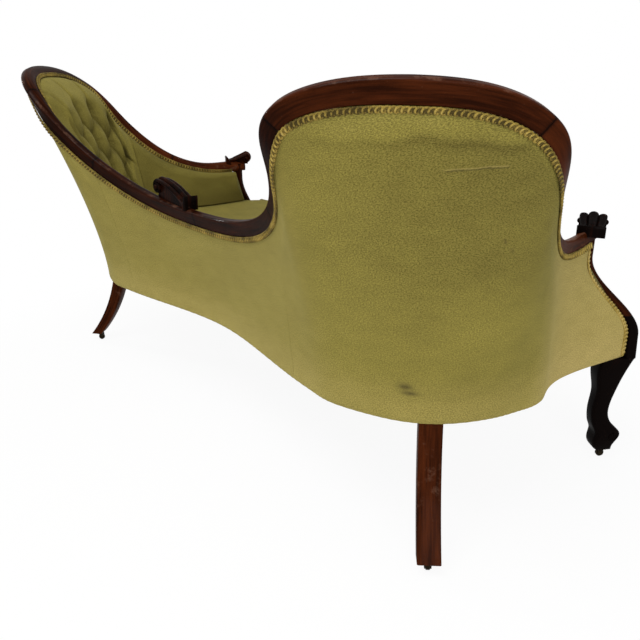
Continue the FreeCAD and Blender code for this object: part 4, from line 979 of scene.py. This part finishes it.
def railStrip(over, inward, outSign):
    places = np.linspace(station("post"), 2 - station("post"), 2200)
    out, inner = railFrame(places)[1:]
    return railPoint(places, over - railWidth(places) / 2, inward), out, inner * outSign


def supportStrip(flip):
    post, beside = station("post"), station("post", "arm", 0.1)
    top = wallLevel(post, postEdge[2] - gimp["supportTop"])[0]
    levels = np.linspace(gimp["supportLow"], top, 200)
    edgeLine = wallPoint([post], levels, 0)[0]
    across = unit(wallPoint([beside], levels, 0)[0] - edgeLine)
    out = np.broadcast_to(-wallInward(post)[0], across.shape)
    centre = edgeLine + across * gimp["supportIn"] + out * gimp["supportOut"]
    return centre * flip, across * flip, out * flip


gimpPieces("outside_gimp", [railStrip(*gimp["outside"])], gimpGold, "outside_gimp")
gimpPieces("support_gimp", [supportStrip(flip) for side, flip in sides], gimpCream)
gimpPieces("inside_gimp", [railStrip(*gimp["inside"])], gimpGold, "inside_gimp")
print("gimp made")

# Arm supports and front legs
leg = {"reach": -0.350, "spread": -0.535, "angle": math.radians(34.5), "kneeFront": 0.018,
       "neckFront": -0.120, "supportDepth": 0.027, "supportWidth": 0.032, "supportOver": 0.0125,
       "frameHigh": 0.385, "gap": 0.0002, "round": 0.009, "warm": -0.26, "supportWarm": 0.06,
       "scuffHeight": 0.17, "scuffHigh": 0.06}
legLevels = {  # height, front, deep, wide, in millimetres
    "thigh": (279.6, 16, 76, 52), "calf": (236, -3, 68, 49), "shin": (187, -17, 47, 42),
    "ankle": (142, -25, 43, 38), "instep": (112, -20, 46, 40), "arch": (92, -5, 55, 45),
    "toe": (78, 9, 63, 49), "ball": (54, 4, 60, 49), "sole": (28.5, -3, 44, 40),
}
toe = {"wide": 0.053, "back": 0.009, "height": 0.066, "radius": 0.013, "ease": 0.0022,
       "spiral": (0.0105, 0.002), "turns": 1.6, "bead": (0.0016, 0.0009)}
legFront = np.array((-math.sin(leg["angle"]), -math.cos(leg["angle"]), 0.0))
legSide = np.array((legFront[1], -legFront[0], 0.0))
legFoot = spoonPoint(leg["reach"], leg["spread"], 0.0)


def supportFront(height):
    level = (height - layout["coverLow"]) / (postEdge[2] - layout["coverLow"])
    return mix(leg["kneeFront"], leg["neckFront"], sweepShare(level))


def roundedRing(wide, deep, radius, steps=6):
    points = []
    for signSide, signFront, start in ((1, 1, 0), (-1, 1, 90), (-1, -1, 180), (1, -1, 270)):
        for turn in np.radians(np.linspace(start, start + 90, steps)):
            points.append((signSide * (wide / 2 - radius) + radius * math.cos(turn),
                           signFront * (deep / 2 - radius) + radius * math.sin(turn)))
    return np.array(points)


def legRings(heights, fronts, deeps, wides):
    rings = []
    for height, front, deep, wide in zip(*np.broadcast_arrays(heights, fronts, deeps, wides)):
        flat = roundedRing(wide, deep, min(leg["round"], deep / 3, wide / 3))
        centre = legFoot + legFront * (front - deep / 2) + up * height
        rings.append(centre + legSide * flat[:, :1] + legFront * flat[:, 1:])
    return np.array(rings)


def supportRings(low, high, wides, count):
    heights = np.linspace(low, high, count)
    return legRings(heights, supportFront(heights), leg["supportDepth"], wides)


levels = np.array(list(legLevels.values()))[::-1] / 1000
thigh = levels[-1]
calfHeights = np.linspace(levels[0, 0], thigh[0], 90)
calf = legRings(calfHeights, *SmoothLine(levels[:, 0], levels[:, 1:]).at(calfHeights)[0].T)
knee = supportRings(thigh[0], leg["frameHigh"], np.linspace(thigh[3], leg["supportWidth"], 26), 26)
supportTop = postEdge[2] + leg["supportOver"]
support = supportRings(leg["frameHigh"] + leg["gap"], supportTop, leg["supportWidth"], 60)


def spiralTube(centre, ahead, side, radii, turns, beads, sidesRound, count):
    # a bead that winds inwards from the top
    turn = math.pi / 2 - np.linspace(0, turns * 2 * math.pi, count)
    radius = np.linspace(*radii, count)
    path = centre + ahead * (radius * np.cos(turn))[:, None] + up * (radius * np.sin(turn))[:, None]
    return tubeAlong(path, np.linspace(*beads, count), sidesRound, side)


def woodPiece(name, tubes, finish, warm, sharpAngle, replacing):
    heights = np.concatenate([rings[..., 2].ravel() for rings in tubes])
    scuff = 0.5 * bell(heights - leg["scuffHeight"], leg["scuffHigh"]) * (warm > 0.1)
    marks = {"warm": np.full(len(heights), warm), "scuff": scuff}
    dress(makeTubes(name, tubes, marks, sharpAngle), finish, "mahogany", replacing)


def toeScroll():
    half, centre = toe["wide"] / 2, legFoot - legFront * toe["back"] + up * toe["height"]
    swell = toe["radius"] - toe["ease"] * np.abs(np.linspace(-1, 1, 13)) ** 6
    turn = turnsRound(32)[:, None]
    circle = legFront * np.cos(turn) + up * np.sin(turn)
    ends = centre + legSide * np.linspace(-half, half, 13)[:, None]
    eyes = [spiralTube(end, legFront, legSide, toe["spiral"], toe["turns"], toe["bead"], 8, 60)
            for end in (ends[0], ends[-1])]
    return [ends[:, None] + circle * swell[:, None, None]] + eyes


legParts = [calf, knee] + toeScroll()
for side, flip in sides:
    woodPiece(side + "_front_leg_wood", [part * flip for part in legParts], mahogany, leg["warm"], 40,
              side + "_front_leg")
    woodPiece(side + "_arm_support_wood", [support * flip], mahogany, leg["supportWarm"], 40,
              side + "_arm_support")

# Back legs, sabre shaped
backLeg = {"share": 0.55, "inset": 0.0056, "width": 0.048, "topDepth": 0.040, "footDepth": 0.035,
           "splay": 0.093, "sweep": 0.022, "top": 0.2869, "foot": 0.0285, "arris": 0.003, "warm": 0.12}
legPlace = station("outerCrown", "crest", backLeg["share"])
legOut = -baseInward(legPlace)[0]
legCorner = baseLine.at(legPlace)[0][0] * (1, 1, 0) - legOut * backLeg["inset"]
legAcross = np.cross(up, legOut)


def sabre():
    half, middle = backLeg["footDepth"] / 2, (backLeg["top"] + backLeg["foot"]) / 2
    lines = []
    for top, foot in ((0.0, backLeg["splay"] + half), (-backLeg["topDepth"], backLeg["splay"] - half)):
        bowed = ((top + foot) / 2 - backLeg["sweep"], middle)
        lines.append(arcThrough((top, backLeg["top"]), bowed, (foot, backLeg["foot"]), 24))
    rings = []
    for (backX, backZ), (frontX, frontZ) in zip(*lines):
        deep = backX - frontX
        flat = roundedRing(backLeg["width"], deep, backLeg["arris"], 4)
        centre = legCorner + legOut * ((backX + frontX) / 2) + up * ((backZ + frontZ) / 2)
        lean = (backZ - frontZ) / deep
        rings.append(centre + legAcross * flat[:, :1] + (legOut + up * lean) * flat[:, 1:])
    return np.array(rings)


for side, flip in sides:
    woodPiece(side + "_back_leg_wood", [sabre() * flip], mahogany, backLeg["warm"], 40, side + "_back_leg")
print("legs made")

# Carved scrolls: a fin behind, and three reeds that curl over into a volute with an eye at each side
scroll = {
    "seat": 0.006, "fin": 0.012, "reed": 0.0085, "reedLevel": 0.8, "cheek": 0.55, "hollow": 0.007,
    "reeds": ((0.0, 0.39, 1.15), (-0.69, 0.31, 0.66), (0.69, 0.31, 0.66)),  # middle, half width, height
    "thick": (0.010, 0.008, 0.0035), "curlTurn": (90, -330), "curlEnd": 0.62,
    "spiral": np.array((0.72, 0.40)), "turns": 1.25, "bead": (0.0036, 0.0024), "eye": 0.36, "eyeHigh": 0.0085,
}
armScroll = {
    "forward": (0.470, -0.883, 0.0), "over": 0.0135, "inward": 0.020, "shift": (-0.0070, -0.0084, 0.0),
    "back": 0.062, "wide": 0.044, "length": 0.062, "rise": 0.015, "radius": 0.020, "flare": 1.36,
    # the near right scroll is painted darker as shade
    "arch": -0.001, "finWide": 1.38, "finHigh": 0.020, "eyeAt": 0.84, "warm": {"right": -0.20, "left": 0.0},
}
centreScroll = {
    "forward": (1.0, 0.0, 0.0), "over": 0.0175, "inward": 0.020, "shift": (0.042, 0.0, 0.0),
    "back": 0.0, "wide": 0.038, "length": 0.137, "rise": 0.036, "radius": 0.022, "flare": 1.08, "arch": 0.009,
    "finWide": 1.0, "finHigh": 0.030, "eyeAt": 0.80, "warm": -0.14,
}


def scrollParts(place, form):
    forward = np.array(form["forward"])
    side = np.cross(up, forward)
    root = railPoint(place, form["over"], form["inward"])[0] + form["shift"] - forward * form["back"]
    length, rise, radius, arch = form["length"], form["rise"], form["radius"], form["arch"]
    finHigh = form["finHigh"]
    fin, low = scroll["fin"], -scroll["seat"]

    def spot(ahead, high, across):
        # across runs from -1 to 1 and widens towards the volute
        ahead, high, across = np.broadcast_arrays(ahead, high, across)
        half = form["wide"] / 2 * (1 + (form["flare"] - 1) * smooth(ahead / length))
        return root + forward * ahead[..., None] + up * high[..., None] + side * (across * half)[..., None]

    # the line of the body, up from the fin and round the volute
    neck, crown = np.array((0.0, finHigh * 0.45)), np.array((length, rise + radius))
    body = arcThrough(neck, (neck + crown) / 2 + np.array((-0.5, 1.0)) * arch, crown, 14)
    turn = np.radians(np.linspace(*scroll["curlTurn"], 64))
    curl = radius * np.linspace(1, scroll["curlEnd"], 64) ** 1.2
    volute = np.stack((length + curl * np.cos(turn), rise + curl * np.sin(turn)), axis=1)
    line = np.concatenate((body, volute[1:]))
    along = unit(np.gradient(line, axis=0))
    outwards = np.stack((-along[:, 1], along[:, 0]), axis=1)

    across = np.linspace(-1, 1, 37)
    reeds = np.max([high * np.sqrt(np.clip(1 - ((across - middle) / half) ** 2, 0, 1))
                    for middle, half, high in scroll["reeds"]], axis=0)
    neckThick, crownThick, tipThick = scroll["thick"]
    thick = np.concatenate((np.linspace(neckThick, crownThick, len(body)),
                            np.linspace(crownThick, tipThick, len(volute) - 1)))
    fade = np.clip(np.arange(len(line)) / 9, 0.2, 1)
    fade[len(body):] *= np.linspace(1, 0.45, len(line) - len(body))
    rings = []
    for point, out, deep, share in zip(line, outwards, thick, fade):
        top = point + out * ((reeds[:, None] - scroll["reedLevel"]) * scroll["reed"] * share)
        under = point - out * deep
        rings.append(np.concatenate((spot(*top.T, across), spot(*under, across[::-6] * 0.92))))
    parts = [np.array(rings)]

    # solid cheeks below the reeds, and the fin
    chin = np.radians(np.linspace(80, -55, 16))
    hollow = scroll["hollow"] + arch * 0.3 * np.linspace(0, 1, len(body)) ** 1.5
    inner = radius - scroll["hollow"] - max(arch, 0) * 0.7
    foot = [(length + radius * 0.3, low), (-fin * 0.6, low), (-fin * 0.6, finHigh * 0.35)]
    curve = np.stack((length + inner * np.cos(chin), rise + inner * np.sin(chin)), axis=1)
    outline = np.concatenate((body - outwards[:len(body)] * hollow[:, None], curve, foot))
    parts.append(np.array([spot(*outline.T, share * scroll["cheek"]) for share in (-1, -0.96, 0.96, 1)]))
    plate = []
    for share, inset in ((-1.0, 0.0016), (-0.94, 0.0), (0.94, 0.0), (1.0, 0.0016)):
        flat = np.array((
            (-fin + inset, low), (-fin + inset, finHigh * 0.45),
            (-fin * 1.08 + inset, finHigh - 0.003 - inset), (-fin * 0.90, finHigh - inset),
            (-fin * 0.55, finHigh - 0.0015 - inset), (-fin * 0.22 - inset, finHigh * 0.66),
            (0.0015 - inset, finHigh * 0.42), (0.006, low)))
        plate.append(spot(*flat.T, share * form["finWide"]))
    parts.append(np.array(plate))

    circle = turnsRound(20)[:, None]
    ring = forward * np.cos(circle) + up * np.sin(circle)
    for sign in (-1, 1):
        middle = spot(length, rise, sign * form["eyeAt"])
        winding = radius * scroll["spiral"]
        parts.append(spiralTube(middle, forward, side, winding, scroll["turns"], scroll["bead"], 10, 56))
        dome = [middle + ring * (radius * scroll["eye"] * math.cos(tilt))
                + side * (sign * (0.0005 + scroll["eyeHigh"] * math.sin(tilt)))
                for tilt in np.linspace(0, math.pi / 2 * 0.98, 7)]
        parts.append(np.array(dome))
    return parts


armParts = scrollParts(station("tip"), armScroll)
for side, flip in sides:
    woodPiece(side + "_arm_scroll_carving", [part * flip for part in armParts], carvedMahogany,
              armScroll["warm"][side], 50, side + "_arm_scroll")
woodPiece("centre_scroll_carving", scrollParts(station("centre"), centreScroll), carvedMahogany,
          centreScroll["warm"], 50, "centre_scroll")
print("scrolls made")

# CAD nodes that stay get their own finishes
stayingNodes = (
    (beech, ("frame_dowels", "corner_blocks", "cross_rail", "back_uprights", "front_rail", "centre_back_rail",
             "right_side_rail", "left_side_rail", "right_back_rail", "left_back_rail")),
    (webCloth, ("seat_webbing",)), (hessianCloth, ("hessian",)), (dustCloth, ("bottom_cover",)),
    (springSteel, ("seat_springs",)), (brass, [name for name in cadNodes if "caster" in name]),
)
for finish, names in stayingNodes:
    for name in names:
        cadNodes[name].data.materials.clear()
        cadNodes[name].data.materials.append(finish)
print("frame finished")

# White studio
studio = {"floor": (0.92, 0.92, 0.92), "half": 30, "shadow": 0.07, "shadowEnds": (1.5, 0.9), "sky": 0.42,
          "white": (1.0, 1.0, 1.0)}
floorMesh = bpy.data.meshes.new("studio_floor")
corners = [(x * studio["half"], y * studio["half"], 0) for x, y in ((-1, -1), (1, -1), (1, 1), (-1, 1))]
floorMesh.from_pydata(corners, [], [(0, 1, 2, 3)])
floor = addObject("studio_floor", floorMesh)
floorLook = Finish("studio_floor", {"Roughness": 0.9, "Base Color": studio["floor"]})
fromMiddle = floorLook.node("ShaderNodeVectorMath", {"operation": "LENGTH"}, {0: floorLook.space()}, 1)
shadow = floorLook.step(fromMiddle, *studio["shadowEnds"]) * studio["shadow"]
glow = floorLook.node("ShaderNodeEmission", None, {"Color": studio["white"], "Strength": 1.0})
bright = floorLook.node("ShaderNodeMixShader", None,
                        {0: floorLook.seenRay() * (1.0 - shadow), 1: floorLook.shader, 2: glow})
floorLook.feed(floorLook.output.node.inputs[0], bright)
floorMesh.materials.append(floorLook.material)

world = bpy.data.worlds.new("studio")
bpy.context.scene.world = world
world.use_nodes = True
sky = Board(world.node_tree)
softSky = sky.node("ShaderNodeBackground", None, {"Strength": studio["sky"]})
whiteSky = sky.node("ShaderNodeBackground", None, {"Color": studio["white"]})
eitherSky = sky.node("ShaderNodeMixShader", None, {0: sky.seenRay(), 1: softSky, 2: whiteSky})
sky.node("ShaderNodeOutputWorld", None, {0: eitherSky})

lamps = {  # place, aim, size, power
    "overhead": ((-0.6, 1.5, 3.2), (0, 0.1, 0.4), 2.2, 72),
    "window": ((-3.4, 1.8, 1.9), (-0.4, 0.2, 0.5), 1.8, 52),
    "front": ((0.4, -3.0, 2.4), (0, 0, 0.5), 2.0, 6),
    "side": ((3.0, 1.1, 1.5), (0.5, 0.2, 0.7), 0.22, 14),
}
for name, (spotAt, aim, wide, power) in lamps.items():
    data = bpy.data.lights.new(name, "AREA")
    data.size = wide
    data.energy = power
    lamp = addObject(name, data)
    lamp.location = spotAt
    direction = unit(np.array(aim, float) - np.array(spotAt, float))
    lamp.rotation_euler = (math.acos(-direction[2]), 0, math.atan2(direction[1], direction[0]) - math.pi / 2)

view = {"lens": 39.06, "sensor": 36, "at": (-1.5127, 1.1257, 0.9519), "tilt": 69.33, "turn": 230.4}
cameraData = bpy.data.cameras.new("photo_view")
cameraData.lens = view["lens"]
cameraData.sensor_width = view["sensor"]
camera = addObject("photo_view", cameraData)
camera.location = view["at"]
camera.rotation_euler = (math.radians(view["tilt"]), 0, math.radians(view["turn"]))
bpy.context.scene.camera = camera
bpy.context.scene.view_settings.view_transform = "Standard"
print("studio set")
